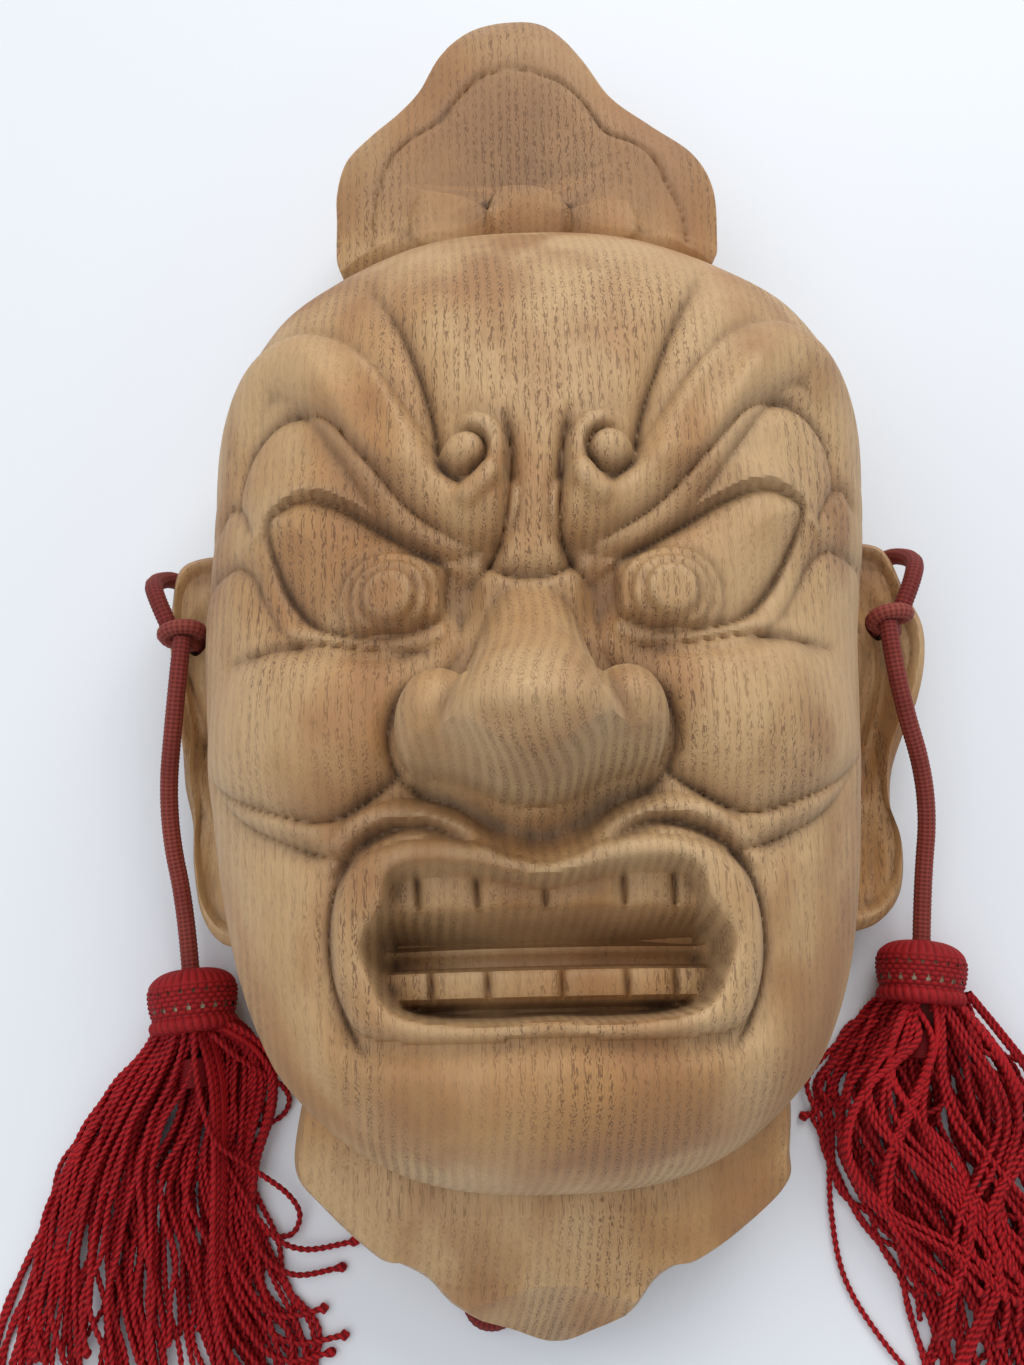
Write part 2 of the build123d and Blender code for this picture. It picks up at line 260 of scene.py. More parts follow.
# Forehead: two creases part the brow rolls from the middle panel.
face.crease([(40, 56, 0), (35.5, 45, 2), (29, 31, 3.4), (24, 17, 4.2), (21.4, 8, 5), (20.4, 2, 5),
             (19.3, -3, 5), (16, -6.2, 4.5)], 9, 9)
# Brow rolls: down from the temples, under the scroll's ball, and up beside the glabella.
face.ridge([(73, 8, 0.5), (70, 22, 3), (62, 31, 4.5), (52, 29, 4.5), (43, 20, 5), (35, 8, 5.5),
            (27, -4, 6.5), (18, -12.5, 6.5), (11, -12, 5)], 8.5)
face.ridge([(13, -11, 2), (9.4, -7, 3), (8.3, -1.5, 3.4), (9.6, 3, 3.4), (13, 5.6, 3.2), (17, 5.2, 1)], 3.2)
face.trough([(52, 40, 0), (43.5, 27, 2), (38, 16, 2.6), (32, 4, 2), (27, -4, 0)], 6)
# The crease under each brow roll arches over the eyelid.
face.crease([(68, -3, 0.5), (66.5, 4, 2.5), (64.5, 11, 3.5), (58.5, 16, 4), (51, 16, 4), (44, 11.5, 4),
             (36, 1, 4), (25, -11.5, 4), (14, -19, 3.5), (9, -21, 2)], 7, 7)
# Glabella: an upright roll between the brows, parted from them by deep cuts.
face.crease([(7, 11, 0), (5.6, 3, 3.5), (5.2, -8, 5), (5.8, -17, 5), (8.5, -23, 4), (12, -27, 2)], 4, 4.5)
face.crease([(-8.5, -22.5, 2.5), (-5.5, -25.4, 3.5), (0, -26.3, 3.5), (5.5, -25.4, 3.5), (8.5, -22.5, 2.5)],
            5, 3, sides=(1,))

for side in (-1, 1):
    # Scroll balls, standing proud at the head of each brow.
    away = np.hypot(U - side * 15.0, Y + 0.8)
    seat = np.clip((5.6 - away) / 0.8, 0, 1)
    ball = skin + 0.5 + 4.6 * np.sqrt(np.clip(1 - (away / 4.5) ** 2, 0, 1))
    face.z = np.where(away < 5.6, face.z * (1 - seat) + np.where(away < 4.5, ball, skin + 0.5) * seat, face.z)

# Eyes: a heavy upper lid, a thin lower rim, and a bulging ball with three carved rings.
EYE = [(57.5, -9), (52.5, -5.3), (46, -5.2), (39, -8), (32.5, -12), (25.5, -17), (17.4, -22.8), (17.2, -29),
       (18.6, -34.8), (28.5, -36.9), (39.5, -35.4), (46.5, -30.8), (53, -21.5)]
face.lip([(17.4, -22.8, 1.5), (25.5, -17, 2.6), (32.5, -12, 3), (39, -8, 3), (46, -5.2, 3),
          (52.5, -5.3, 2.2), (57.5, -10, 1)], 9)
face.ridge([(58.5, -12, 0.6), (54.5, -23, 1.6), (48, -32.6, 1.8), (40, -37.4, 1.8), (28.5, -38.8, 1.8),
            (19, -36.6, 1.2)], 2.8)
for side in (-1, 1):
    depth = face.inside(EYE, side)
    pupil = np.hypot(U - side * 28, Y + 30.5)
    lid_shade = np.clip((Y + 22) / 14, 0, 1)
    from_rim = 1 - np.clip(depth, 0, 13) / 13
    ball = skin - 2.2 - 0.8 * lid_shade + 7.2 * np.sqrt(np.clip(1 - from_rim ** 2, 0, 1))
    ball += 3.0 * np.clip(1 - (pupil / 17) ** 2, 0, 1)
    for radius, height in ((5.2, 1.3), (7.9, 1.1), (10.6, 1.1)):
        step = np.clip((radius - pupil) / 1.3 + 0.5, 0, 1)
        ball += height * step * step * (3 - 2 * step) - 0.5 * np.exp(-((pupil - radius - 0.7) / 0.9) ** 2)
    ball -= 0.6 * np.exp(-(pupil / 2.0) ** 2)
    seat = np.clip(depth / 1.3 + 0.4, 0, 1)
    seat = seat * seat * (3 - 2 * seat)
    face.z = face.z * (1 - seat) + ball * seat
    # The inner corner slopes away to the side of the nose.
    face.swell(13.5, -31, 5, 9, -3, sides=(side,))

# Nose: a broad bulb with a flat-cut underside, a ridge up to the brows and a wing on each side.
ridge_top = smooth_table(Y, [-75, -72.5, -70, -66, -60, -54, -45, -35, -27],
                         [80, 96, 107, 116.5, 120.5, 117, 106, 94, 86])
ridge_half = smooth_table(Y, [-75, -72.5, -69, -62, -54, -45, -31, -26],
                          [3, 10, 16.5, 19.5, 17.5, 13, 9.6, 8.2])
ridge_foot = smooth_table(Y, [-77, -70, -60, -45, -27], [80, 82, 80, 76, 74])
across = np.clip(1 - (np.abs(U) / np.maximum(ridge_half, 1)) ** 2.5, 0, 1)
in_nose = (Y > -75) & (Y < -26) & (np.abs(U) < ridge_half)
nose = np.where(in_nose, ridge_foot + (ridge_top - ridge_foot) * across ** 0.5, -50)
for side in (-1, 1):
    spot = ((U * side - 17.5) / 9.2) ** 2 + ((Y + 56.5) / 11) ** 2
    wing = np.where(spot < 1, 80 + 24.5 * np.clip(1 - spot, 0, 1) ** 0.42, -50)
    nose = np.where((nose > 0) & (wing > 0), soft_max(nose, wing, 3), np.maximum(nose, wing))
nose_edge = smooth_table(np.abs(U), [0, 5, 10, 15, 20, 24, 27], [-72, -70.9, -68.2, -65.8, -64.6, -64, -62])
facet_slope = smooth_table(np.abs(U), [0, 9, 13, 17, 27], [6.5, 5.6, 4.4, 3.6, 3.0])
facet = 91 + facet_slope * np.clip(Y - nose_edge, 0, 30) - 9 * np.clip(nose_edge - Y, 0, 2)
nose = np.where(nose > 0, np.minimum(nose, facet), nose)
face.z = np.where(nose > 0, np.maximum(face.z, nose), face.z)
face.crease([(20, -47.3, 0.5), (16.5, -46.8, 2.5), (12.6, -48.3, 4), (11.2, -51.2, 4), (12, -54.5, 2.2),
             (13.5, -58, 0)], 2.6, 2.6)
face.crease([(20, -44.5, 0), (25.8, -50, 2), (28.2, -57.5, 3.5), (26.5, -64.5, 3.5), (22, -68.5, 3)], 4, 9)
face.trough([(31, -69, 1), (22, -70, 3.5), (14, -72, 5), (7, -76, 5.5), (0, -78, 2.7)], 6)
face.crease([(13.5, -33, 1), (14.5, -42, 1.5), (17, -45.6, 2)], 8, 6)

# Cheeks: full, cut off above by the fold under the eye and below by the fold over the mouth.
face.crease([(66, -36.5, 0), (60, -37, 2.2), (52, -36.4, 3.2), (43, -37.3, 3.4), (33, -39.5, 3),
             (24, -40.5, 1.6), (17, -41, 0)], 9, 3.2)
face.crease([(71, -57.5, 0), (66.5, -62.3, 2.2), (60, -66.6, 2.8), (52, -70.3, 3.2), (44, -72.6, 3.6),
             (37.5, -72, 4), (31.5, -68.6, 4.2), (27, -65.5, 3.5)], 3.2, 12)
face.crease([(71, -57.5, 0), (66, -64.5, 1.6), (58.5, -71.8, 2.6), (50.5, -76, 3), (43, -79, 3.2),
             (39, -80, 3)], 8, 3)
face.crease([(73, -1.5, 1.5), (69.5, 1.2, 2.2), (65.5, -2, 2), (62, -8, 1.5), (59.5, -12, 0)], 5, 5)
face.crease([(76, -13, 1.5), (71, -14, 2.2), (65, -15, 2.4), (60.5, -19, 2.2), (56.5, -26, 0.5)], 5, 7)

# Muzzle and lips: a thin ridge over the upper lip, then a full ring of lip round bared teeth.
face.ridge([(10, -79.5, 0.8), (13.5, -76.2, 2), (18, -73.2, 2.6), (24, -71.6, 2.8), (31, -73, 2.6),
            (37, -76.3, 2), (42, -81, 0.8)], 2.6)
face.trough([(9.5, -80.5, 0), (16, -77, 2.2), (23, -75, 3), (30, -76, 2.6), (36.5, -79.6, 1.8),
             (40.5, -85, 0)], 2.2)
RIGHT_LIPS = [(0, -113.8), (15, -114.6), (28, -114.2), (36, -112.3), (39.8, -106), (41.2, -98), (40.8, -90),
              (37.5, -83.2), (31, -79.3), (21, -77.8), (12, -79.2), (5, -82.2), (0, -83.2)]
RIGHT_MOUTH = [(0, -111.2), (12, -111.6), (24, -110.6), (30, -108), (33, -103), (34.8, -97.2), (32.5, -93),
               (30.3, -89.5), (29.3, -85), (25, -82.9), (15, -83.3), (8, -84.6), (0, -85.9)]
lips = face.inside(RIGHT_LIPS + [(-x, y) for x, y in RIGHT_LIPS[-2:0:-1]])
mouth = face.inside(RIGHT_MOUTH + [(-x, y) for x, y in RIGHT_MOUTH[-2:0:-1]])
face.crease([(36.5, -79.8, 1.5), (39.8, -84.6, 3.5), (41.6, -91, 4), (41.9, -98, 4), (40.5, -106, 3.5),
             (37.4, -113, 2.5), (33, -119, 0)], 8, 2.5)
share = lips / np.maximum(lips - mouth, 0.01)
roll = np.sqrt(np.clip(1 - (2 * np.clip(share, 0, 1) - 1) ** 2, 0, 1))
ring = (lips > 0) & (mouth < 0)
face.z = np.where(ring, face.z + 2.6 * roll * np.clip((lips - mouth) / 4, 0.5, 1.2), face.z)
below_lip = np.where((lips <= 0) & (lips > -7), np.clip((-103 - Y) / 8, 0, 1), 0)
face.z -= below_lip * 0.9 * (1 + np.cos(np.pi * np.clip(lips, -7, 0) / 7))

# Inside the mouth: two rows of teeth, the dark gap between them and a strip of tongue.
gape = smooth_table(Y, [-113, -111.6, -110, -108.4, -107.6, -107, -102.3, -101.4, -100.9, -99.6, -97.2, -96,
                        -94.6, -90.9, -90.2, -86, -82],
                    [82, 72, 65, 64, 69, 73.5, 74.5, 73, 63, 63, 65, 60.5, 63, 77.5, 79.5, 81.5, 82.5])
gape = gape - 6.5 * (np.abs(U) / 31) ** 2.2
UPPER_GAPS = (-24.3, -12.8, 0.2, 15.3, 25.2)
LOWER_GAPS = (-22.6, -11.6, 2.6, 15.2, 24.8)
for gaps, low, high in ((UPPER_GAPS, -90.6, -82), (LOWER_GAPS, -107.5, -101.3)):
    row = np.clip((Y - low) / 0.8, 0, 1) * np.clip((high - Y) / 0.8, 0, 1)
    for gap in gaps:
        away = np.abs(U - gap)
        gape -= row * (1.7 * np.exp(-(away / 0.55) ** 2) + 0.7 * np.exp(-(away / 2.2) ** 2))
side_wall = np.clip((np.abs(U) - 30.5) / 4.5, 0, 1)
gape = gape * (1 - side_wall) + 66 * side_wall
wall_up = np.clip(1 - mouth / 1.9, 0, 1)
face.z = np.where(mouth > 0, np.minimum(face.z, gape + (face.z - gape) * wall_up ** 2), face.z)

# Near the sides the cuts go in square to the surface instead of straight down.
along = np.gradient(np.stack([blank_x, blank_y, blank_z], -1), axis=0)
over = np.gradient(np.stack([blank_x, blank_y, blank_z], -1), axis=1)
normal = np.cross(over, along)
normal /= np.maximum(np.linalg.norm(normal, axis=-1, keepdims=True), 1e-9)
normal *= np.sign(normal[..., 2:3].sum())
cut = face.z - blank_z
steep = smooth_table(np.abs(blank_x) / 78, [0, 0.6, 0.85, 1], [0, 0, 1, 1])[..., None]
way = normal * steep * 0.75 + np.array([0, 0, 1.0]) * (1 - steep)
rim_fade = np.clip(blank_z / 14, 0, 1)[..., None]
front = np.stack([blank_x, blank_y, blank_z], -1) + way * (cut[..., None] * np.where(steep > 0, rim_fade, 1))


def closed_mesh(name, verts, faces):
    """A mesh from millimetre points, as an object in the scene."""
    mesh = bpy.data.meshes.new(name)
    mesh.from_pydata((np.asarray(verts) * MM).tolist(), [], faces)
    mesh.validate()
    piece = bpy.data.objects.new(name, mesh)
    bpy.context.collection.objects.link(piece)
    shape = bmesh.new()
    shape.from_mesh(mesh)
    bmesh.ops.recalc_face_normals(shape, faces=shape.faces)
    shape.to_mesh(mesh)
    shape.free()
    return piece


def closed_loop(points, steps):
    """A smooth closed loop through given points, in so many steps from each to the next."""
    points = np.asarray(points, float)
    p = np.vstack([points[-1], points, points[:2]])
    line = []
    for a, b, c, d in zip(p[:-3], p[1:-2], p[2:-1], p[3:]):
        t = np.linspace(0, 1, steps, endpoint=False)[:, None]
        line.append(0.5 * (2 * b + (c - a) * t + (2 * a - 5 * b + 4 * c - d) * t ** 2
                           + (3 * b - a - 3 * c + d) * t ** 3))
    return np.vstack(line)


def relief(name, layers, middle_at, top, rings=70, steps=20):
    """A solid with a carved front: side walls through outlines (z, points), then the front over them."""
    loops = [np.hstack([closed_loop(points, steps), np.full((len(points) * steps, 1), float(z))])
             for z, points in layers]
    count = len(loops[0])
    walls = []
    for low, high in zip(loops[:-1], loops[1:]):
        walls += [low + (high - low) * t for t in np.linspace(0, 1, 6, endpoint=False)]
    edge = loops[-1].copy()
    edge[:, 2] = top(edge[:, 0], edge[:, 1], np.zeros(count))
    walls.append(edge)
    middle_at = np.asarray(middle_at, float)
    for share in np.linspace(0, 1, rings, endpoint=False)[1:]:
        ring = edge.copy()
        ring[:, :2] = edge[:, :2] + (middle_at - edge[:, :2]) * share
        ring[:, 2] = top(ring[:, 0], ring[:, 1], share * np.linalg.norm(edge[:, :2] - middle_at, axis=1))
        walls.append(ring)
    verts = np.vstack(walls + [np.append(middle_at, top(*[np.array([v]) for v in (*middle_at, 30.0)])[0])])
    faces = [list(range(count))[::-1]]
    for k in range(len(walls) - 1):
        for i in range(count):
            j = (i + 1) % count
            faces.append([k * count + i, k * count + j, (k + 1) * count + j, (k + 1) * count + i])
    last = (len(walls) - 1) * count
    faces += [[last + i, last + (i + 1) % count, len(verts) - 1] for i in range(count)]
    return closed_mesh(name, verts, faces)


# The shell: the carved front, and a smooth hollow behind it that meets it along the flat rim.
HOLLOW = np.array([(90, 4, 0.02), (88, 16, 8), (84, 27, 20), (78, 36, 33), (70, 44, 45), (60, 51, 55),
                   (45, 57, 63), (20, 62, 69), (-20, 63, 68), (-60, 61, 63), (-90, 55, 60), (-112, 46, 57),
                   (-122, 37, 48), (-128, 24, 32), (-130, 14, 18), (-131, 4, 0.02)], float)
inner = np.stack(arch(HOLLOW, *CARVING_GRID, [90, -131]), -1)
rows, columns = blank_x.shape
index = np.arange(rows * columns).reshape(rows, columns)
quads = np.stack([index[:-1, :-1], index[:-1, 1:], index[1:, 1:], index[1:, :-1]], -1).reshape(-1, 4)
rim = np.concatenate([index[0, :-1], index[:-1, -1], index[-1, :0:-1], index[:0:-1, 0]])
ring = np.stack([rim, np.roll(rim, -1), np.roll(rim, -1) + rows * columns, rim + rows * columns], -1)
shell_faces = np.vstack([quads, quads[:, ::-1] + rows * columns, ring[:, ::-1]])
shell_verts = np.vstack([front.reshape(-1, 3), inner.reshape(-1, 3)])
shell_verts[rim, 2] = 0
shell_verts[rim + rows * columns, 2] = 0
head = closed_mesh("carved_head_wood", shell_verts, shell_faces.tolist())

# Topknot: a bound bun that leans forward, its front face framed by an incised line, with a tied ribbon.
BUN = [(-51, 86), (-51.4, 99.2), (-51.3, 107.6), (-48.7, 116.6), (-42.1, 123.8), (-34.2, 130.6),
       (-28.4, 137.1), (-22.7, 147.2), (-14.1, 155.4), (-3.4, 158.3), (6.9, 156.6), (16.4, 146),
       (24.4, 133.9), (35.2, 125.2), (46.3, 116.7), (51.5, 106.5), (52, 93.1), (51, 86), (46, 84), (20, 84),
       (-20, 84), (-46, 84)]
BUN_LINE = [(-41.5, 88, 1.2), (-40.9, 97.5, 1.4), (-38.3, 108.5, 1.5), (-34.1, 115.9, 1.5),
            (-29.3, 119.9, 1.5), (-22.9, 123.9, 1.5), (-18.4, 129.6, 1.6), (-11.7, 136.2, 1.6),
            (-6.5, 137.8, 1.2), (-0.8, 138.3, 1.0), (10, 134.6, 1.4), (16.9, 128.6, 1.6), (22.1, 120, 1.6),
            (29.7, 116.6, 1.5), (34.6, 112.3, 1.5), (37.9, 104.8, 1.5), (41.9, 96.2, 1.4), (43, 88, 1.2)]
BUN_BACK = [(x * 0.96, 84 + (y - 84) * 1.28) for x, y in BUN]


def bun_front(x, y, inward):
    carve = Carving(x, y, 36 + 9.5 * np.clip((y - 90) / 60, 0, 1))
    carve.z = carve.z + 5.5 * (1 - (1 - np.clip(inward / 16, 0, 1)) ** 2)
    carve.crease(BUN_LINE, 2.6, 1.4, sides=(1,))
    centre = np.minimum(carve.inside([(-8.8, 101.3), (1, 103.3), (10.8, 98.8), (10, 88), (-9, 88)]) / 1.1, 1)
    left = np.minimum(carve.inside([(-28, 102.4), (-11.3, 98.9), (-10, 88), (-30, 88)]) / 1.3, 1)
    right = np.minimum(carve.inside([(11.5, 97.3), (27.4, 99.3), (29, 88), (11, 88)]) / 1.3, 1)
    carve.z += 3.0 * np.clip(centre, 0, 1) + 1.5 * np.clip(left, 0, 1) + 1.5 * np.clip(right, 0, 1)
    return carve.z


topknot = relief("topknot_wood", [(0, BUN_BACK), (18, BUN_BACK), (36, BUN)], (0, 104), bun_front)

# Neck: a plain block under the chin, cut to a point, with two scooped corners and a bevelled lower edge.
NECK = [(-49, -108), (-54.6, -116), (-55.4, -124), (-57, -140.5), (-50.5, -149), (-38.6, -159),
        (-33.5, -160.5), (-27.5, -163.5), (-21.5, -169), (-10, -174.8), (0, -179.5), (9, -175.2),
        (16.6, -170), (21, -165), (25.5, -162.2), (31, -161), (41, -155), (51.6, -146), (52.8, -139),
        (53.9, -129), (53, -116), (47, -108)]


def neck_front(x, y, inward):
    z = 36 - 6 * np.clip((-150 - y) / 15, 0, 1) + 10 * np.clip((y + 140) / 25, 0, 1)
    z = np.where(y < -165, np.minimum(z, 28 - 1.25 * (-165 - y - np.abs(x) * 0.28)), z)
    side_cut = np.abs(x) * 0.62 + (-y - 108) * 0.5
    z = np.minimum(z, 66 - side_cut * 0.66)
    return np.maximum(np.minimum(z, 25 + 3.5 * inward), 8.5 + 0.5 * inward)


neck = relief("neck_wood", [(7.1, NECK), (8.2, NECK)], (0, -140), neck_front)


# Ears: long-lobed, with a rolled outer rim, a hollow inside it and a bored hole for the cord.
def ear_face(side):
    def face_of_ear(x, y, inward):
        z = smooth_table(y, [-92, -62, -24, 2, 8], [14, 16.5, 27.5, 28.6, 25])
        z = z + 2.2 * np.clip(1 - np.abs(inward - 2.6) / 2.6, 0, 1) ** 0.8 - 1.2
        carve = Carving(x * side, y, z)
        carve.trough([(82, -8, 1), (87, -18, 3), (88, -28, 5), (86, -38, 5.5), (83, -47, 4.5), (80, -57, 2)],
                     4.5, sides=(1,))
        carve.trough([(81.5, -66, 1), (82, -75, 2.2), (80, -84, 1)], 4, sides=(1,))
        carve.swell(79, -26, 4, 8, 2.5, sides=(1,))
        return carve.z
    return face_of_ear


RIGHT_EAR = [(62, 5), (74, 6.2), (86, 5.5), (90.5, 1), (93.5, -8), (97, -17), (96.8, -26), (94.5, -36),
             (91, -44), (88, -53), (87.5, -63), (89.5, -72), (87.5, -83), (80.5, -90), (70, -91.5),
             (62, -88), (62, -45)]
LEFT_EAR = [(-62, 5), (-74, 6.2), (-85, 6), (-91, 1.5), (-92.3, -8), (-92.5, -17), (-91, -26), (-90, -36),
            (-89.2, -44), (-88.8, -53), (-87, -62), (-86.5, -72), (-84, -84), (-78.5, -91), (-70, -91.5),
            (-62, -88), (-62, -45)]
right_ear = relief("right_ear_wood", [(10, RIGHT_EAR), (12, RIGHT_EAR)], (77, -38), ear_face(1))
left_ear = relief("left_ear_wood", [(10, LEFT_EAR), (12, LEFT_EAR)], (-77, -38), ear_face(-1))


def carve_with(piece, other, operation):
    """Union or cut with another solid, applied, and the other solid removed."""
    change = piece.modifiers.new("change", "BOOLEAN")
    change.operation = operation
    change.solver = "MANIFOLD"
    change.object = other
    bpy.ops.object.select_all(action="DESELECT")
    bpy.context.view_layer.objects.active = piece
    piece.select_set(True)
    bpy.ops.object.modifier_apply(modifier="change")
    bpy.data.objects.remove(other, do_unlink=True)


for block in (topknot, neck, left_ear, right_ear):
    carve_with(head, block, "UNION")
# A hole is bored in each ear, and a passage for the hanging cord is cut out under the neck.
EAR_HOLE_RADIUS, EAR_HOLE_AT = 0.0032, (0.086, -0.017, 0.02)
PASSAGE_SIZE, PASSAGE_AT = (0.034, 0.08, 0.014), (-0.015, -0.15, 0)
for side in (-1, 1):
    bpy.ops.object.select_all(action="DESELECT")
    bpy.ops.mesh.primitive_cylinder_add(vertices=32, radius=EAR_HOLE_RADIUS, depth=0.06,
                                        location=(side * EAR_HOLE_AT[0], *EAR_HOLE_AT[1:]))
    carve_with(head, bpy.context.object, "DIFFERENCE")
bpy.ops.object.select_all(action="DESELECT")
bpy.ops.mesh.primitive_cube_add(size=1, location=(0, 0, 0))
passage = bpy.context.object
passage.scale = PASSAGE_SIZE
passage.location = PASSAGE_AT
carve_with(head, passage, "DIFFERENCE")
HEAD_TRIANGLES = 190000
thin = head.modifiers.new("thin", "DECIMATE")
thin.ratio = HEAD_TRIANGLES / max(1, sum(len(p.vertices) - 2 for p in head.data.polygons))
bpy.ops.object.select_all(action="DESELECT")
bpy.context.view_layer.objects.active = head
head.select_set(True)
bpy.ops.object.modifier_apply(modifier="thin")
bpy.ops.object.shade_smooth_by_angle(angle=math.radians(42))


def store(piece, name, values):
    """Keeps one value per vertex, for the material to read."""
    layer = piece.data.attributes.new(name, "FLOAT", "POINT")
    layer.data.foreach_set("value", np.asarray(values, np.float32))


def store_wear_and_shade_masks(piece):
    """Stores how hollow, how sharp and how steep the surface is, from the turn of its normals."""
    mesh = piece.data
    count = len(mesh.vertices)
    at = np.empty(count * 3)
    mesh.vertices.foreach_get("co", at)
    at = at.reshape(-1, 3) * 1000
    facing = np.empty(count * 3, np.float32)
    mesh.vertices.foreach_get("normal", facing)
    facing = facing.reshape(-1, 3).astype(float)
    ends = np.empty(len(mesh.edges) * 2, np.int32)
    mesh.edges.foreach_get("vertices", ends)
    a, b = ends.reshape(-1, 2).T
    gap = at[b] - at[a]
    size = np.maximum(np.linalg.norm(gap, axis=1), 0.05)
    turn = ((facing[b] - facing[a]) * gap).sum(1) / np.maximum(size, 0.5) ** 2
    total, weight = np.zeros(count), np.zeros(count)
    for end in (a, b):
        total += np.bincount(end, turn * size, count)
        weight += np.bincount(end, size, count)
    bend = total / np.maximum(weight, 1e-6)

    def spread(values, times):
        for _ in range(times):
            share = np.bincount(a, values[b], count) + np.bincount(b, values[a], count)
            near = np.bincount(a, minlength=count) + np.bincount(b, minlength=count)
            values = 0.4 * values + 0.6 * share / np.maximum(near, 1)
        return values

    bend = spread(bend, 1)
    store(piece, "crease", np.clip(spread(np.clip(-bend - 0.12, 0, 1), 1) * 3.5, 0, 1))
    store(piece, "hollow", np.clip(spread(np.clip(-bend - 0.03, 0, 0.5), 12) * 6.5, 0, 1))
    store(piece, "sharp", np.clip(spread(np.clip(bend - 0.08, 0, 1), 1) * 3, 0, 1))
    store(piece, "steep", 1 - np.abs(facing[:, 2]))


store_wear_and_shade_masks(head)


def add_node(tree, kind, inputs=(), **settings):
    """One shader node with its settings, and its inputs joined or set."""
    made = tree.nodes.new(kind)
    for key, value in settings.items():
        setattr(made, key, value)
    for key, value in dict(inputs).items():
        if isinstance(value, bpy.types.NodeSocket):
            tree.links.new(value, made.inputs[key])
        else:
            made.inputs[key].default_value = value
    return made


def calculate(tree, operation, a, b=0.0, c=0.0, clamp=False):
    return add_node(tree, "ShaderNodeMath", {0: a, 1: b, 2: c}, operation=operation,
                    use_clamp=clamp).outputs[0]


def band(tree, value, low, high):
    """Zero below one value, one above another."""
    return add_node(tree, "ShaderNodeMapRange", {"Value": value, "From Min": low, "From Max": high},
                    interpolation_type="SMOOTHSTEP").outputs["Result"]


def blend(tree, share, a, b):
    return add_node(tree, "ShaderNodeMix", {0: share, 6: a, 7: b}, data_type="RGBA").outputs[2]


def texture(tree, place, stretch, detail=2.0, rough=0.5):
    """Noise in object space, stretched to the given features per metre."""
    moved = add_node(tree, "ShaderNodeMapping", {"Vector": place, "Scale": stretch}).outputs[0]
    return add_node(tree, "ShaderNodeTexNoise", {"Vector": moved, "Scale": 1.0, "Detail": detail,
                                                 "Roughness": rough}).outputs["Fac"]


def stored(tree, name):
    return add_node(tree, "ShaderNodeAttribute", attribute_name=name).outputs["Fac"]


# The wood: growth layers that show as lines on the steep sides, dark pore dashes along the grain,
# warm and ruddy patches, worn pale edges, painted light that makes the steep sides paler, and dirt
# with painted shade that darkens the hollows and the cuts.
GROWTH_LAYER = 0.0023
grain = bpy.data.node_groups.new("open_grained_wood", "ShaderNodeTree")
grain.interface.new_socket("Color", in_out="OUTPUT", socket_type="NodeSocketColor")
grain.interface.new_socket("Roughness", in_out="OUTPUT", socket_type="NodeSocketFloat")
grain.interface.new_socket("Height", in_out="OUTPUT", socket_type="NodeSocketFloat")
result = grain.nodes.new("NodeGroupOutput")
place = add_node(grain, "ShaderNodeTexCoord").outputs["Object"]
sway = texture(grain, place, (14, 4, 14), 2)
from_heart = add_node(grain, "ShaderNodeVectorMath", {0: place, 1: (0.30, 0, -0.085)},
                      operation="ADD").outputs[0]
from_heart = add_node(grain, "ShaderNodeVectorMath", {0: from_heart, 1: (1, 0.02, 1)},
                      operation="MULTIPLY").outputs[0]
radius = add_node(grain, "ShaderNodeVectorMath", {0: from_heart}, operation="LENGTH").outputs["Value"]
radius = calculate(grain, "ADD", radius, calculate(grain, "MULTIPLY", sway, 0.012))
phase = calculate(grain, "FRACT", calculate(grain, "DIVIDE", radius, GROWTH_LAYER))
early = calculate(grain, "SUBTRACT", 1.0, calculate(grain, "ABSOLUTE", calculate(
    grain, "MULTIPLY_ADD", phase, 2.0, -1.0)))
early = band(grain, early, 0.2, 0.75)
pores = texture(grain, place, (4000, 460, 4000), 1.0)
coarse_pores = texture(grain, place, (2700, 300, 2700), 1.0)
patchy = band(grain, texture(grain, place, (38, 20, 38), 2), 0.36, 0.64)
pore_mask = calculate(grain, "MAXIMUM", band(grain, pores, 0.55, 0.64), band(grain, coarse_pores, 0.60, 0.67))
amount = calculate(grain, "MULTIPLY_ADD", patchy, 0.75, 0.25)
amount = calculate(grain, "MULTIPLY", amount, calculate(grain, "MULTIPLY_ADD", early, 0.85, 0.15))
pore_mask = calculate(grain, "MULTIPLY", pore_mask, amount, clamp=True)
fibres = texture(grain, place, (1700, 60, 1700), 3)
steep, crease, hollow, sharp = (stored(grain, name) for name in ("steep", "crease", "hollow", "sharp"))
warm = band(grain, texture(grain, place, (20, 13, 20), 3, 0.6), 0.38, 0.64)
colour = blend(grain, warm, (0.570, 0.365, 0.175, 1), (0.460, 0.232, 0.080, 1))
ruddy = band(grain, texture(grain, place, (42, 26, 42), 3), 0.44, 0.68)
colour = blend(grain, calculate(grain, "MULTIPLY", ruddy, 0.7), colour, (0.330, 0.148, 0.052, 1))
# Painted light: the steep sides are painted paler than the faces that look up.
pale = calculate(grain, "MULTIPLY", band(grain, steep, 0.45, 0.95), 0.6)
colour = blend(grain, pale, colour, (0.600, 0.430, 0.240, 1))
lines = calculate(grain, "MULTIPLY_ADD", band(grain, steep, 0.25, 0.8), 0.14, 0.03)
lines = calculate(grain, "MULTIPLY", calculate(grain, "MULTIPLY", early, lines),
                  calculate(grain, "MULTIPLY_ADD", patchy, 0.9, 0.5), clamp=True)
colour = blend(grain, lines, colour, (0.270, 0.150, 0.066, 1))
colour = blend(grain, calculate(grain, "MULTIPLY", band(grain, fibres, 0.35, 0.7), 0.25), colour,
               (0.30, 0.18, 0.085, 1))
colour = blend(grain, calculate(grain, "MULTIPLY", sharp, 0.3), colour, (0.66, 0.48, 0.28, 1))
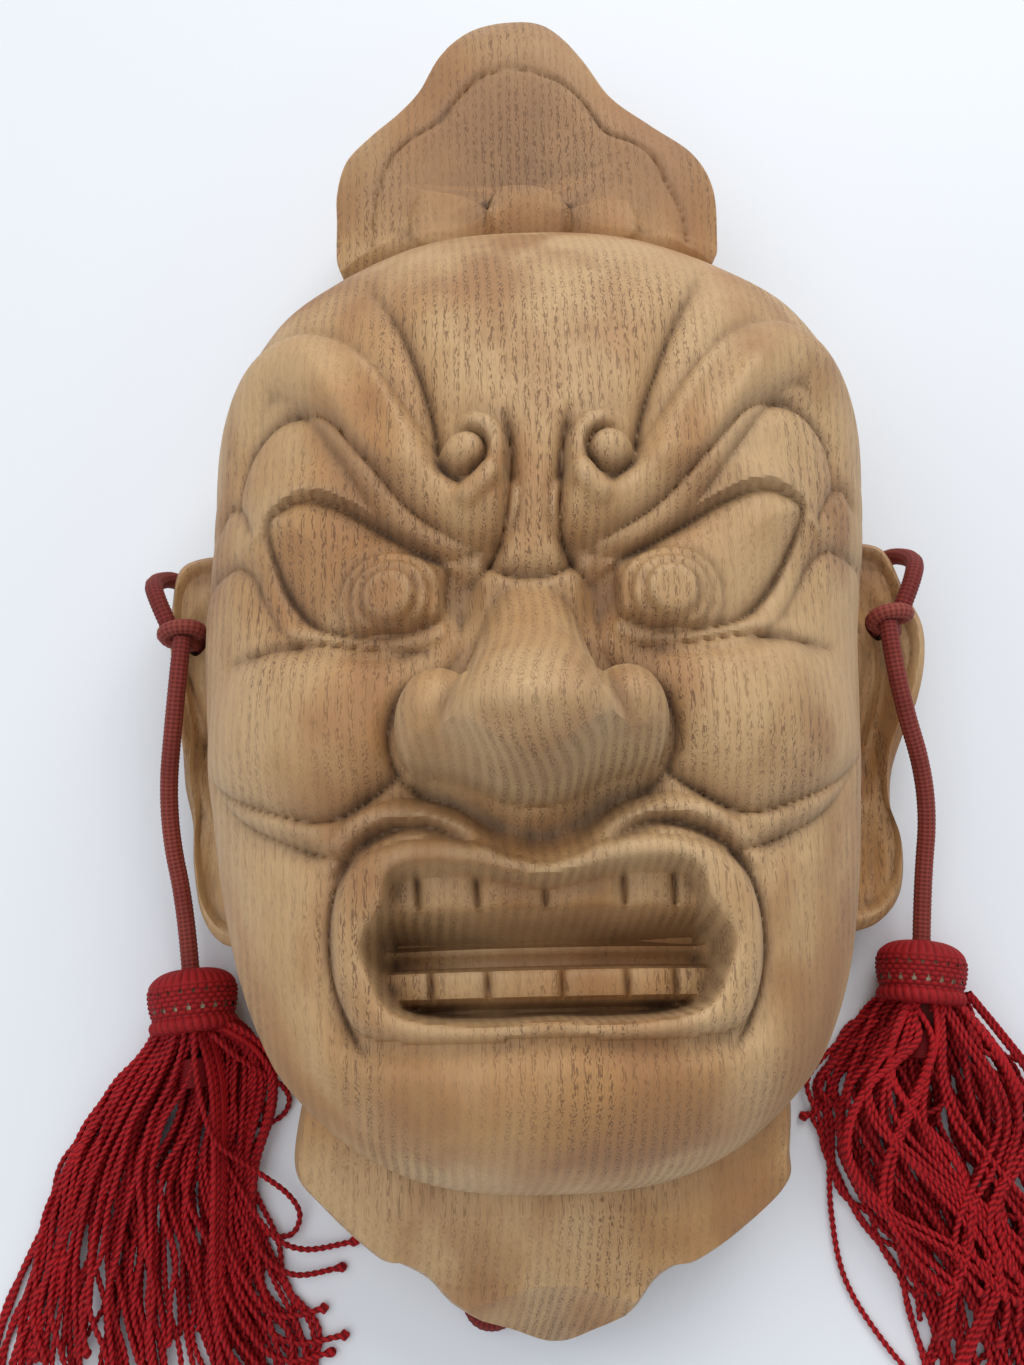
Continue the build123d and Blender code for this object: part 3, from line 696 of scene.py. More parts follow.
# The topknot's front is browner than the face.
height_up = add_node(grain, "ShaderNodeSeparateXYZ", {0: place}).outputs[1]
brown = calculate(grain, "MULTIPLY", band(grain, height_up, 0.088, 0.104), calculate(
    grain, "SUBTRACT", 1.0, band(grain, steep, 0.05, 0.35)))
colour = blend(grain, calculate(grain, "MULTIPLY", brown, 0.55), colour, (0.330, 0.170, 0.078, 1))
# Dirt and painted shade: the hollows are darkened towards a dark grey-brown, broken up by a noise.
dirt_and_shade_noise = texture(grain, place, (160, 110, 160), 3, 0.65)
dirt_and_shade_in_hollows = calculate(grain, "MULTIPLY", hollow, calculate(grain, "MULTIPLY_ADD", dirt_and_shade_noise, 1.3, 0.1), clamp=True)
colour = blend(grain, calculate(grain, "MULTIPLY", dirt_and_shade_in_hollows, 0.8), colour, (0.185, 0.105, 0.054, 1))
colour = blend(grain, calculate(grain, "MULTIPLY", pore_mask, 0.75), colour, (0.120, 0.052, 0.022, 1))
# Painted shade with some dirt: the cuts are darkened almost to black.
in_cut = calculate(grain, "MULTIPLY", crease, calculate(grain, "MULTIPLY_ADD", dirt_and_shade_noise, 0.8, 0.4), clamp=True)
colour = blend(grain, calculate(grain, "MULTIPLY", in_cut, 0.85), colour, (0.075, 0.040, 0.020, 1))
grain.links.new(colour, result.inputs["Color"])
rough = calculate(grain, "MULTIPLY_ADD", fibres, 0.2, 0.5)
rough = calculate(grain, "ADD", rough, calculate(grain, "MULTIPLY", in_cut, 0.25), clamp=True)
grain.links.new(rough, result.inputs["Roughness"])
depth = calculate(grain, "SUBTRACT", calculate(grain, "MULTIPLY", fibres, 0.25), pore_mask)
grain.links.new(depth, result.inputs["Height"])


def paint(name, group, bump_distance=0.0002, bump_strength=0.5):
    """A material on a shared node group: its colour, roughness and height."""
    made = bpy.data.materials.new(name)
    made.use_nodes = True
    tree = made.node_tree
    shader = tree.nodes["Principled BSDF"]
    shared = add_node(tree, "ShaderNodeGroup", node_tree=group)
    tree.links.new(shared.outputs["Color"], shader.inputs["Base Color"])
    tree.links.new(shared.outputs["Roughness"], shader.inputs["Roughness"])
    bump = add_node(tree, "ShaderNodeBump", {"Height": shared.outputs["Height"], "Distance": bump_distance,
                                             "Strength": bump_strength})
    tree.links.new(bump.outputs["Normal"], shader.inputs["Normal"])
    return made


def finish_piece(piece, material, slot_name, *nodes):
    """Paints a piece, lets it stand for its solids and ride on the one body."""
    piece.data.materials.clear()
    piece.data.materials.append(material)
    if nodes:
        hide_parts(*nodes)
    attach(piece, "root")


finish_piece(head, paint("carved_wood", grain, 0.00025, 0.6), "carved_wood", "carved_head")

# ================================================================ ear loops, knots and tassel cords
# Soft braided cotton cord, dyed red and faded: it comes out of the ear hole, loops round the back of
# the ear, and is knotted to itself in front. From the knot it runs down to the crocheted tassel cap.
CORD = 4.5
PLAIT_DEPTH = 0.16
LEFT_LOOP = [(-90.5, -15.5, 35.5), (-94, -8, 37), (-97.5, -1, 27), (-96, 5, 14.5), (-90.5, 2.5, 4),
             (-86, -17, 3.4), (-86, -17, 32)]
RIGHT_LOOP = [(89.5, -15.5, 35.5), (93.5, -7, 37), (97, 1, 27), (94.5, 7, 14.5), (89, 3, 4), (86, -17, 3.4),
              (86, -17, 32)]
LEFT_CORD = [(-86.4, -20, 36.5), (-87.2, -35.5, 36), (-92.6, -60, 20), (-87.6, -86, 11.2),
             (-84.9, -111.8, 11)]
RIGHT_CORD = [(85.2, -20, 36.5), (85.4, -35.5, 36.5), (95.4, -59, 22), (93.66, -83.5, 11.2),
              (90.5, -109.2, 11)]
HANGING_CORD = [(-87.2, -10, 3.6), (-74, -14, 3.4), (-55, -34, 3.2), (-38, -70, 3), (-21, -108, 3),
                (-18, -146, 3), (-19.6, -166, 3), (-19, -176.5, 3), (-10.4, -177, 3), (-9.6, -166.5, 3),
                (-11, -146, 3), (-3, -108, 3), (24, -80, 3), (46, -42, 3.2), (74, -14, 3.4),
                (86.6, -10, 3.6)]


def cord_line(name, points):
    """The smooth line that a cord's given points make, as millimetre points, and its length."""
    curve = bpy.data.curves.new(name, "CURVE")
    curve.dimensions = "3D"
    curve.resolution_u = 24
    spline = curve.splines.new("NURBS")
    spline.points.add(len(points) - 1)
    for control, point in zip(spline.points, points):
        control.co = (point[0] * MM, point[1] * MM, point[2] * MM, 1)
    spline.order_u = 3
    spline.use_endpoint_u = True
    holder = bpy.data.objects.new(name, curve)
    bpy.context.collection.objects.link(holder)
    mesh = bpy.data.meshes.new_from_object(holder)
    line = np.array([vertex.co[:] for vertex in mesh.vertices]) * 1000
    bpy.data.objects.remove(holder, do_unlink=True)
    bpy.data.meshes.remove(mesh)
    return line, float(np.linalg.norm(np.diff(line, axis=0), axis=1).sum()) * MM


def even_line(line, step):
    """The same line with evenly spaced points."""
    line = np.asarray(line, float)
    run = np.concatenate([[0], np.cumsum(np.linalg.norm(np.diff(line, axis=0), axis=1))])
    count = max(3, int(round(run[-1] / step)) + 1)
    at = np.linspace(0, run[-1], count)
    return np.stack([np.interp(at, run, line[:, k]) for k in range(3)], 1), at


def along_frames(line):
    """Two directions square to the line at each point, carried along it without twisting."""
    ahead = np.gradient(line, axis=0)
    ahead /= np.maximum(np.linalg.norm(ahead, axis=1, keepdims=True), 1e-9)
    side = np.zeros_like(line)
    start = np.cross(ahead[0], (0, 0, 1.0))
    if np.linalg.norm(start) < 0.1:
        start = np.cross(ahead[0], (1.0, 0, 0))
    side[0] = start / np.linalg.norm(start)
    for k in range(1, len(line)):
        moved = side[k - 1] - ahead[k] * (side[k - 1] @ ahead[k])
        side[k] = moved / max(np.linalg.norm(moved), 1e-9)
    return side, np.cross(ahead, side)


def tube_rows(line, at, sides, reach):
    """Rings of points round a line; reach(angle, distance) is the radius there."""
    side, up = along_frames(line)
    angle = np.linspace(0, 2 * math.pi, sides, endpoint=False)
    radius = reach(angle[None, :], at[:, None])
    around = side[:, None, :] * np.cos(angle)[None, :, None] + up[:, None, :] * np.sin(angle)[None, :, None]
    return line[:, None, :] + around * radius[..., None], radius


def tube_faces(rings, sides, start=0):
    index = np.arange(rings * sides).reshape(rings, sides) + start
    turned = np.roll(index, -1, 1)
    return np.stack([index[:-1], turned[:-1], turned[1:], index[1:]], -1).reshape(-1, 4)


def plait(angle, at, rows=5, pitch=2.1):
    """The braid's over and under crossings, from -1 to 1."""
    turn = angle / (2 * math.pi) * rows
    return np.sin(2 * math.pi * (turn + at / pitch)) * np.sin(2 * math.pi * (turn - at / pitch))


def braided_piece(name, line, radius, fade=None):
    """A plaited cord along a line, closed at both ends, storing its plait and how faded it is."""
    line, at = even_line(line, 0.3)
    sides = 28
    rows, reach = tube_rows(line, at, sides, lambda angle, s: radius + PLAIT_DEPTH * (plait(angle, s) - 1))
    verts = rows.reshape(-1, 3)
    faces = tube_faces(len(line), sides).tolist()
    faces += [list(range(sides))[::-1], list(range(len(verts) - sides, len(verts)))]
    piece = closed_mesh(name, verts, faces)
    for polygon in piece.data.polygons:
        polygon.use_smooth = True
    store(piece, "weave", (1 + 0.5 * (reach - radius) / PLAIT_DEPTH).reshape(-1))
    length = at[-1]
    worn = np.ones(len(at)) if fade is None else np.interp(at / length, fade[0], fade[1])
    store(piece, "faded", np.repeat(worn, sides))
    return piece


yarn = bpy.data.node_groups.new("dyed_yarn", "ShaderNodeTree")
yarn.interface.new_socket("Deep", in_out="INPUT", socket_type="NodeSocketColor")
yarn.interface.new_socket("Lit", in_out="INPUT", socket_type="NodeSocketColor")
yarn.interface.new_socket("Worn", in_out="INPUT", socket_type="NodeSocketColor")
yarn.interface.new_socket("Color", in_out="OUTPUT", socket_type="NodeSocketColor")
yarn.interface.new_socket("Roughness", in_out="OUTPUT", socket_type="NodeSocketFloat")
yarn.interface.new_socket("Height", in_out="OUTPUT", socket_type="NodeSocketFloat")
given = yarn.nodes.new("NodeGroupInput")
result = yarn.nodes.new("NodeGroupOutput")
place = add_node(yarn, "ShaderNodeTexCoord").outputs["Object"]
fuzz = texture(yarn, place, (2600, 2600, 2600), 2, 0.6)
shade = texture(yarn, place, (90, 90, 90), 2)
# Painted light and shade: the raised crossings and plies take the lit colour, the hollows between them the
# darker deep colour.
raised = band(yarn, stored(yarn, "weave"), 0.15, 0.85)
colour = blend(yarn, raised, given.outputs["Deep"], given.outputs["Lit"])
worn = calculate(yarn, "MULTIPLY", stored(yarn, "faded"), calculate(yarn, "MULTIPLY_ADD", raised, 0.7, 0.25),
                 clamp=True)
colour = blend(yarn, worn, colour, given.outputs["Worn"])
colour = blend(yarn, calculate(yarn, "MULTIPLY", band(yarn, fuzz, 0.55, 0.8), 0.22), colour,
               given.outputs["Worn"])
colour = blend(yarn, calculate(yarn, "MULTIPLY", band(yarn, shade, 0.4, 0.7), 0.3), colour,
               given.outputs["Deep"])
yarn.links.new(colour, result.inputs["Color"])
yarn.links.new(calculate(yarn, "MULTIPLY_ADD", fuzz, 0.25, 0.55), result.inputs["Roughness"])
yarn.links.new(fuzz, result.inputs["Height"])


def yarn_paint(name, deep, lit, worn, sheen=0.15):
    made = paint(name, yarn, 0.0001, 0.3)
    for node in made.node_tree.nodes:
        if node.type == "GROUP":
            node.inputs["Deep"].default_value = deep
            node.inputs["Lit"].default_value = lit
            node.inputs["Worn"].default_value = worn
    made.node_tree.nodes["Principled BSDF"].inputs["Sheen Weight"].default_value = sheen
    made.node_tree.nodes["Principled BSDF"].inputs["Specular IOR Level"].default_value = 0.2
    return made


cord_paint = yarn_paint("faded_red_braid", (0.105, 0.012, 0.010, 1), (0.235, 0.030, 0.024, 1),
                        (0.330, 0.078, 0.055, 1), 0.04)
for side_name, loop_points, run_points in (("left", LEFT_LOOP, LEFT_CORD), ("right", RIGHT_LOOP, RIGHT_CORD)):
    line, length = cord_line(side_name + "_loop_line", loop_points)
    loop = braided_piece(side_name + "_ear_loop_cord", line, CORD / 2, ([0, 0.3, 1], [0.1, 0.3, 0.0]))
    finish_piece(loop, cord_paint, "braided_cord", side_name + "_ear_loop")
    line, length = cord_line(side_name + "_run_line", run_points)
    run = braided_piece(side_name + "_tassel_cord_braid", line, CORD / 2,
                        ([0, 0.12, 0.5, 0.8, 1], [0.1, 0.5, 0.8, 0.5, 0.1]))
    finish_piece(run, cord_paint, "braided_cord", side_name + "_tassel_cord")
    # The knot: the loop's end wrapped tight round both cords in front of the ear.
    cx, cy, cz = {"left": (-87.0, -18.2, 35.2), "right": (86.2, -18.2, 35.2)}[side_name]
    turn = np.linspace(-0.6 * math.pi, 1.75 * math.pi, 90)
    share = np.linspace(0, 1, 90)
    wrap = np.stack([cx + 4.0 * np.cos(turn), cy + 1.6 - 3.0 * share + 0.5 * np.sin(turn),
                     cz + 2.9 * np.sin(turn)], 1)
    knot = braided_piece(side_name + "_ear_knot_wrap", wrap, 2.05)
    finish_piece(knot, cord_paint, "braided_cord", side_name + "_ear_knot")

# ================================================================ hanging cord
# The same braided cord, tied into both ear holes behind the mask to hang it by. Its slack is folded
# once and lies down the hollow, and the fold shows under the neck.
line, length = cord_line("hanging_line", HANGING_CORD)
hanging = braided_piece("hanging_cord_braid", line, CORD / 2, ([0, 0.45, 0.55, 1], [0.3, 0.0, 0.0, 0.3]))
finish_piece(hanging, cord_paint, "braided_cord", "hanging_cord")

# ================================================================ tassel formers, stoppers and bindings
# Inside each cap sit a turned pale former, the cord's end knot, and the thread ring that binds the strands.
cream = bpy.data.materials.new("cream_former")
cream.use_nodes = True
cream.node_tree.nodes["Principled BSDF"].inputs["Base Color"].default_value = (0.66, 0.53, 0.34, 1)
cream.node_tree.nodes["Principled BSDF"].inputs["Roughness"].default_value = 0.5
TASSEL_TOPS = {"left": (-86.5, -96.4, 11.0), "right": (92.4, -93.7, 11.0)}
TASSEL_ENDS = {"left": LEFT_CORD[-1], "right": RIGHT_CORD[-1]}
strand_paint = yarn_paint("crimson_strands", (0.165, 0.002, 0.004, 1), (0.430, 0.008, 0.012, 1),
                          (0.450, 0.018, 0.020, 1), 0.0)


def turned(name, side_name, profile, sides=48, reach=None):
    """A turned form on the tassel's axis: profile is (radius, distance down) in millimetres."""
    top, end = np.array(TASSEL_TOPS[side_name]), np.array(TASSEL_ENDS[side_name])
    down = (end - top) / np.linalg.norm(end - top)
    across = np.cross((0, 0, 1.0), down)
    up = np.cross(down, across)
    angle = np.linspace(0, 2 * math.pi, sides, endpoint=False)
    profile = np.asarray(profile, float)
    radius = np.repeat(profile[:, :1], sides, 1)
    if reach is not None:
        radius = radius + reach(angle[None, :], profile[:, 1:2], np.linspace(0, 1, len(profile))[:, None])
    around = across * np.cos(angle)[:, None] + up * np.sin(angle)[:, None]
    verts = top + down * profile[:, 1, None, None] + around[None] * radius[..., None]
    faces = tube_faces(len(profile), sides).tolist()
    faces += [list(range(sides))[::-1], list(range((len(profile) - 1) * sides, len(profile) * sides))]
    piece = closed_mesh(name, verts.reshape(-1, 3), faces)
    for polygon in piece.data.polygons:
        polygon.use_smooth = True
    return piece, angle


for side_name in ("left", "right"):
    core, _ = turned(side_name + "_tassel_former", side_name,
                     [(2.5, 1.7), (5, 1.8), (7.2, 2.5), (8.7, 4.2), (9.3, 6.5), (9.3, 12.2), (8.9, 12.6),
                      (2.5, 12.6)])
    finish_piece(core, cream, "tassel_former", side_name + "_tassel_core")
    stop, _ = turned(side_name + "_tassel_end_knot", side_name,
                     [(0.6, 12.7), (2.6, 13.3), (3.8, 15.4), (3.9, 17.2), (2.9, 19.6), (0.6, 20.6)], 28)
    finish_piece(stop, cord_paint, "braided_cord", side_name + "_tassel_stopper_knot")
    ring, _ = turned(side_name + "_tassel_thread_ring", side_name,
                     [(2.6, 21.2)] + [(4.2 + 0.3 * math.cos(k * math.pi), 21.3 + 0.34 * k) for k in range(20)]
                     + [(2.6, 27.9)], 40)
    finish_piece(ring, strand_paint, "tassel_strands", side_name + "_tassel_binding")

# ================================================================ crocheted caps and collars
# A close cap of crimson crochet over each former, with two rounds of small openings, and a thicker
# round of stitches that closes it over the strands.
net_paint = yarn_paint("crimson_crochet", (0.170, 0.004, 0.005, 1), (0.340, 0.010, 0.013, 1),
                       (0.38, 0.03, 0.03, 1), 0.0)
CAP_STITCH_POINTS, CAP_ROUNDS = 180, 110
# Rounds of openings: how far down the cap, how tall, how wide, and how many go round.
OPENINGS = ((0.54, 0.040, 0.0070, 22), (0.80, 0.055, 0.0100, 20))


def stitches(angle, row):
    """Crochet: drawn-in ribs on the crown, then small puffed stitches in shifted rounds."""
    ribs = np.abs(np.sin(16 * angle)) ** 0.7 * np.ones_like(row)
    rounds = row * 13
    turn = angle / (2 * math.pi) * 32 + 0.5 * (np.floor(rounds) % 2)
    puffs = np.abs(np.sin(math.pi * turn)) ** 0.7 * np.abs(np.sin(math.pi * rounds)) ** 0.6
    share = np.clip((row - 0.40) / 0.08, 0, 1)
    return ribs * (1 - share) + puffs * share


def slanted(angle, row):
    """The thick round's slanting stitches."""
    return np.abs(np.sin(16 * angle + 1.5 * row)) ** 0.6


for side_name in ("left", "right"):
    shares = np.linspace(0, 1, CAP_ROUNDS)
    profile = []
    for share in shares:
        if share < 0.55:
            lean = share / 0.55 * math.pi / 2
            profile.append((2.6 + 8.1 * math.sin(lean) ** 0.8, 0.3 + 5.6 * (1 - math.cos(lean)) ** 0.95))
        else:
            profile.append((10.7 - 1.2 * ((share - 0.55) / 0.45) ** 2, 5.9 + 6.5 * (share - 0.55) / 0.45))
    cap, angle = turned(side_name + "_tassel_cap_crochet", side_name, profile, CAP_STITCH_POINTS,
                        lambda a, d, row: 0.42 * stitches(a, row) - 0.35)
    puff = stitches(angle[None, :], shares[:, None])
    store(cap, "weave", puff.reshape(-1))
    store(cap, "faded", np.full(len(cap.data.vertices), 0.05))
    # Openings: small triangles in two rounds, cut right through to the former.
    shape = bmesh.new()
    shape.from_mesh(cap.data)
    shape.verts.ensure_lookup_table()
    doomed = []
    for face in shape.faces:
        if len(face.verts) > 4:
            continue
        row = np.mean([vertex.index // CAP_STITCH_POINTS for vertex in face.verts]) / (CAP_ROUNDS - 1)
        turns = [vertex.index % CAP_STITCH_POINTS for vertex in face.verts]
        closes_round = max(turns) - min(turns) > CAP_STITCH_POINTS / 2
        around = 0.0 if closes_round else np.mean(turns) / CAP_STITCH_POINTS
        for centre, tall, wide, count in OPENINGS:
            drop = (row - centre) / tall
            nearest = abs((around * count) % 1 - 0.5) / count
            if -1 < drop < 1 and nearest < wide * (0.55 + 0.45 * drop):
                doomed.append(face)
                break
    bmesh.ops.delete(shape, geom=doomed, context="FACES")
    shape.to_mesh(cap.data)
    shape.free()
    finish_piece(cap, net_paint, "crocheted_net", side_name + "_tassel_cap")
    edge = [(9.0, 12.0)]
    for k in range(25):
        swing = math.pi * k / 24
        edge.append((8.9 + 1.45 * math.sin(swing), 13.4 - 1.7 * math.cos(swing)))
    edge.append((8.8, 15.2))
    collar, angle = turned(side_name + "_tassel_collar_crochet", side_name, edge, CAP_STITCH_POINTS,
                           lambda a, d, row: 0.5 * slanted(a, row) * np.sin(math.pi * row) ** 0.5 - 0.35)
    store(collar, "weave", slanted(angle[None, :], np.linspace(0, 1, len(edge))[:, None]).reshape(-1))
    store(collar, "faded", np.full(len(collar.data.vertices), 0.05))
    finish_piece(collar, net_paint, "crocheted_net", side_name + "_tassel_collar")

# ================================================================ tassel skirts
# Each skirt is a bundle of two-ply twisted crimson strands, laid out by hand on the table: the left
# one fans down and sweeps to the right at its end, the right one lies tangled.
STRAND_CORE, PLY_RISE, TWIST_PITCH, KNOT_SWELL = 0.47, 0.28, 3.4, 0.62
STRAND_REST = 0.75


def strand_mesh(name, paths):
    """Two-ply twisted strands along their own lines, some ended with a small knot."""
    verts, faces, weave = [], [], []
    start = 0
    sides = 8
    for path, knotted, twist in paths:
        line, at = even_line(path, 0.36)
        swell = (KNOT_SWELL if knotted else 0) * np.exp(-((at[-1] - 1.3 - at) / 0.75) ** 2)

        def plies(angle, s):
            turned_by = angle - 2 * math.pi * s / TWIST_PITCH - twist
            return STRAND_CORE + PLY_RISE * np.cos(turned_by) ** 2 + swell[:, None]

        rows, reach = tube_rows(line, at, sides, plies)
        rows[-1] = rows[-1] * 0.4 + line[-1] * 0.6
        rows[..., 2] = np.maximum(rows[..., 2], 0.05)
        verts.append(rows.reshape(-1, 3))
        faces.append(tube_faces(len(line), sides, start))
        weave.append(((reach - swell[:, None] - STRAND_CORE) / PLY_RISE).reshape(-1))
        start += len(line) * sides
    mesh = bpy.data.meshes.new(name)
    mesh.from_pydata((np.vstack(verts) * MM).tolist(), [], np.vstack(faces).tolist())
    piece = bpy.data.objects.new(name, mesh)
    bpy.context.collection.objects.link(piece)
    for polygon in mesh.polygons:
        polygon.use_smooth = True
    store(piece, "weave", np.concatenate(weave))
    store(piece, "faded", np.full(start, 0.12))
    return piece


def spread_apart(stations, rounds=40, room=1.36):
    """Pushes strands that share a place apart, sideways and upwards, at each station in turn."""
    count = stations.shape[1]
    for row in stations[1:]:
        for _ in range(rounds):
            gap = row[:, None, :] - row[None, :, :]
            far = np.linalg.norm(gap, axis=2) + np.eye(count) * 99
            push = np.clip(room - far, 0, None)[..., None] * gap / np.maximum(far, 0.05)[..., None]
            row[:, 0] += 0.22 * push[..., 0].sum(1)
            row[:, 2] += 0.30 * push[..., 2].sum(1)
            row[:, 2] -= 0.02 * np.clip(row[:, 2] - 0.8, 0, 1)
            row[:, 2] = np.maximum(row[:, 2], STRAND_REST)
    return stations


def smooth_through(points, count=60):
    """A smooth line of so many even steps through given points."""
    points = np.asarray(points, float)
    run = np.concatenate([[0], np.cumsum(np.linalg.norm(np.diff(points, axis=0), axis=1))])
    at = np.linspace(0, run[-1], count)
    padded = np.vstack([2 * points[0] - points[1], points, 2 * points[-1] - points[-2]])
    i = np.clip(np.searchsorted(run, at, side="right") - 1, 0, len(points) - 2)
    t = ((at - run[i]) / (run[i + 1] - run[i]))[:, None]
    a, b, c, d = padded[i], padded[i + 1], padded[i + 2], padded[i + 3]
    return 0.5 * (2 * b + (c - a) * t + (2 * a - 5 * b + 4 * c - d) * t ** 2
                  + (3 * b - a - 3 * c + d) * t ** 3)


def bundle(seed, count, neck, heights, left_edge, right_edge, wander, crossing):
    """Strands from the neck ring, fanning between two given edges."""
    pick = np.random.default_rng(seed)
    rows = len(left_edge)
    share = (np.arange(count) + 0.5) / count
    pick.shuffle(share)
    layer = pick.random(count)
    stations = np.zeros((rows, count, 3))
    drift = pick.normal(0, 1, (rows, count)).cumsum(0) * crossing
    for k in range(rows):
        left, right = np.array(left_edge[k]), np.array(right_edge[k])
        mix = np.clip(share + drift[k] * k / rows, -0.03, 1.03)[:, None]
        bow = 4 * mix * (1 - mix)
        stations[k, :, :2] = left + (right - left) * mix + pick.normal(0, wander, (count, 2)) * min(1, k / 3)
        thick = heights[k]
        stations[k, :, 2] = STRAND_REST + layer * thick * (0.35 + 0.65 * bow[:, 0])
    centre = np.array(neck)
    lean = (share - 0.5) * 2
    stations[0, :, 0] = centre[0] + lean * 8.6
    stations[0, :, 1] = centre[1]
    rise = np.clip(2.6 * layer - 1, -1, 1)
    stations[0, :, 2] = centre[2] + rise * np.sqrt(np.clip(1 - lean ** 2, 0.05, 1)) * 7.7
    return spread_apart(stations)


def family(pick, points, count, spread):
    """Strands that keep company along one given line."""
    points = np.asarray(points, float)
    paths = []
    for _ in range(count):
        shift = pick.normal(0, 1, points.shape).cumsum(0) * 0.45 + pick.normal(0, 1, 3)
        moved = points + shift * spread * np.linspace(0.35, 1, len(points))[:, None] * (1, 0.6, 0.45)
        moved[:, 2] = np.clip(moved[:, 2], STRAND_REST, 18.5)
        paths.append((smooth_through(moved), pick.random() < 0.6, pick.random() * 6))
    return paths


left_edge = [(-93, -109), (-97.5, -113.5), (-104, -122), (-110.5, -131), (-116, -141), (-119.5, -151),
             (-122.5, -161), (-126, -172), (-127, -184), (-125.5, -197)]
right_edge = [(-78, -109), (-72.5, -112.5), (-71, -122), (-71, -132), (-72, -141), (-71, -150),
              (-67.5, -159), (-63, -169), (-58.5, -178), (-56, -188)]
heights = [15, 16, 15.5, 14, 12.5, 11, 9.5, 8, 6.5, 5]
left_fan = bundle(5, 92, (-85.2, -107.5, 11), heights, left_edge, right_edge, 0.8, 0.035)
pick = np.random.default_rng(11)
left_paths = []
for k in range(left_fan.shape[1]):
    keep = 10 if pick.random() < 0.7 else 9
    left_paths.append((smooth_through(left_fan[:keep, k]), pick.random() < 0.45, pick.random() * 6))
# Strands at the right that sweep out sideways at their ends.
SWEEP_ENDS = [(-48.5, -165), (-45.5, -159.5), (-52.5, -173.5), (-47.5, -179.2), (-50.5, -182.6), (-46, -189),
              (-53.5, -190.5), (-62, -192), (-57, -185), (-66, -196), (-60, -197), (-70, -199), (-64, -188),
              (-55, -196), (-74, -200)]
for k, (x, y) in enumerate(SWEEP_ENDS):
    lean = pick.random()
    high = 9 * (1 - lean) + 1
    left_paths.append((smooth_through([(-84 + 5 * lean, -108, 12 + 4 * (1 - lean)),
                                       (-80 + 4 * lean, -122, 4 + high), (-78.5 + 3 * lean, -138, 3 + high),
                                       (-77.5 + 2.5 * lean, y + 19, 2 + 0.7 * high),
                                       (-72 + 0.3 * (x + 60), y + 4.5, 1.5 + 0.5 * high),
                                       (x * 0.55 - 34, y - 1.2, 1.2 + 0.25 * high),
                                       (x, y, 0.8 + 0.1 * k)]), True, pick.random() * 6))
# The bulge under the cap's right side, where strands double back.
left_paths += family(pick, [(-82, -108.5, 13), (-76, -111, 14), (-70.5, -115, 11.5), (-67.8, -121, 8),
                            (-69, -129, 5), (-72, -141, 4), (-72.5, -153, 3), (-74, -166, 2.2),
                            (-73, -179, 1.6)], 16, 1.8)
left_paths.append((smooth_through([(-83, -110, 18), (-82.5, -117, 18.5), (-80.8, -128, 16),
                                   (-77.5, -136.5, 13), (-69.6, -143, 7.5), (-62.7, -148.3, 4.5),
                                   (-59.7, -153.2, 2.5), (-61.4, -157.6, 1.6), (-66, -158, 1.2),
                                   (-71.5, -155.6, 1.2), (-76.5, -154, 1.4), (-81, -157, 1.5),
                                   (-83, -166, 1.5)]), False, 1.0))
left_paths.append((smooth_through([(-79, -112, 17.5), (-74, -116.8, 15.5), (-68, -121.4, 10),
                                   (-64.6, -124.3, 5), (-63.2, -127.5, 2.2), (-64.6, -131, 1.2),
                                   (-68.5, -133.2, 1.2), (-73, -134, 1.8), (-76, -141, 2)]), False, 2.0))
left_paths.append((smooth_through([(-90, -110, 12), (-103, -128, 6), (-117, -148, 2), (-124.5, -163, 1.2),
                                   (-128, -174, 0.9), (-130.5, -186, 0.8)]), True, 2.0))
left_paths.append((smooth_through([(-90, -110, 10), (-101, -125, 5), (-115.5, -146, 2), (-121.5, -165, 1.2),
                                   (-126.5, -176, 0.9), (-127.5, -190, 0.8), (-124, -199, 0.8)]), True, 2.0))

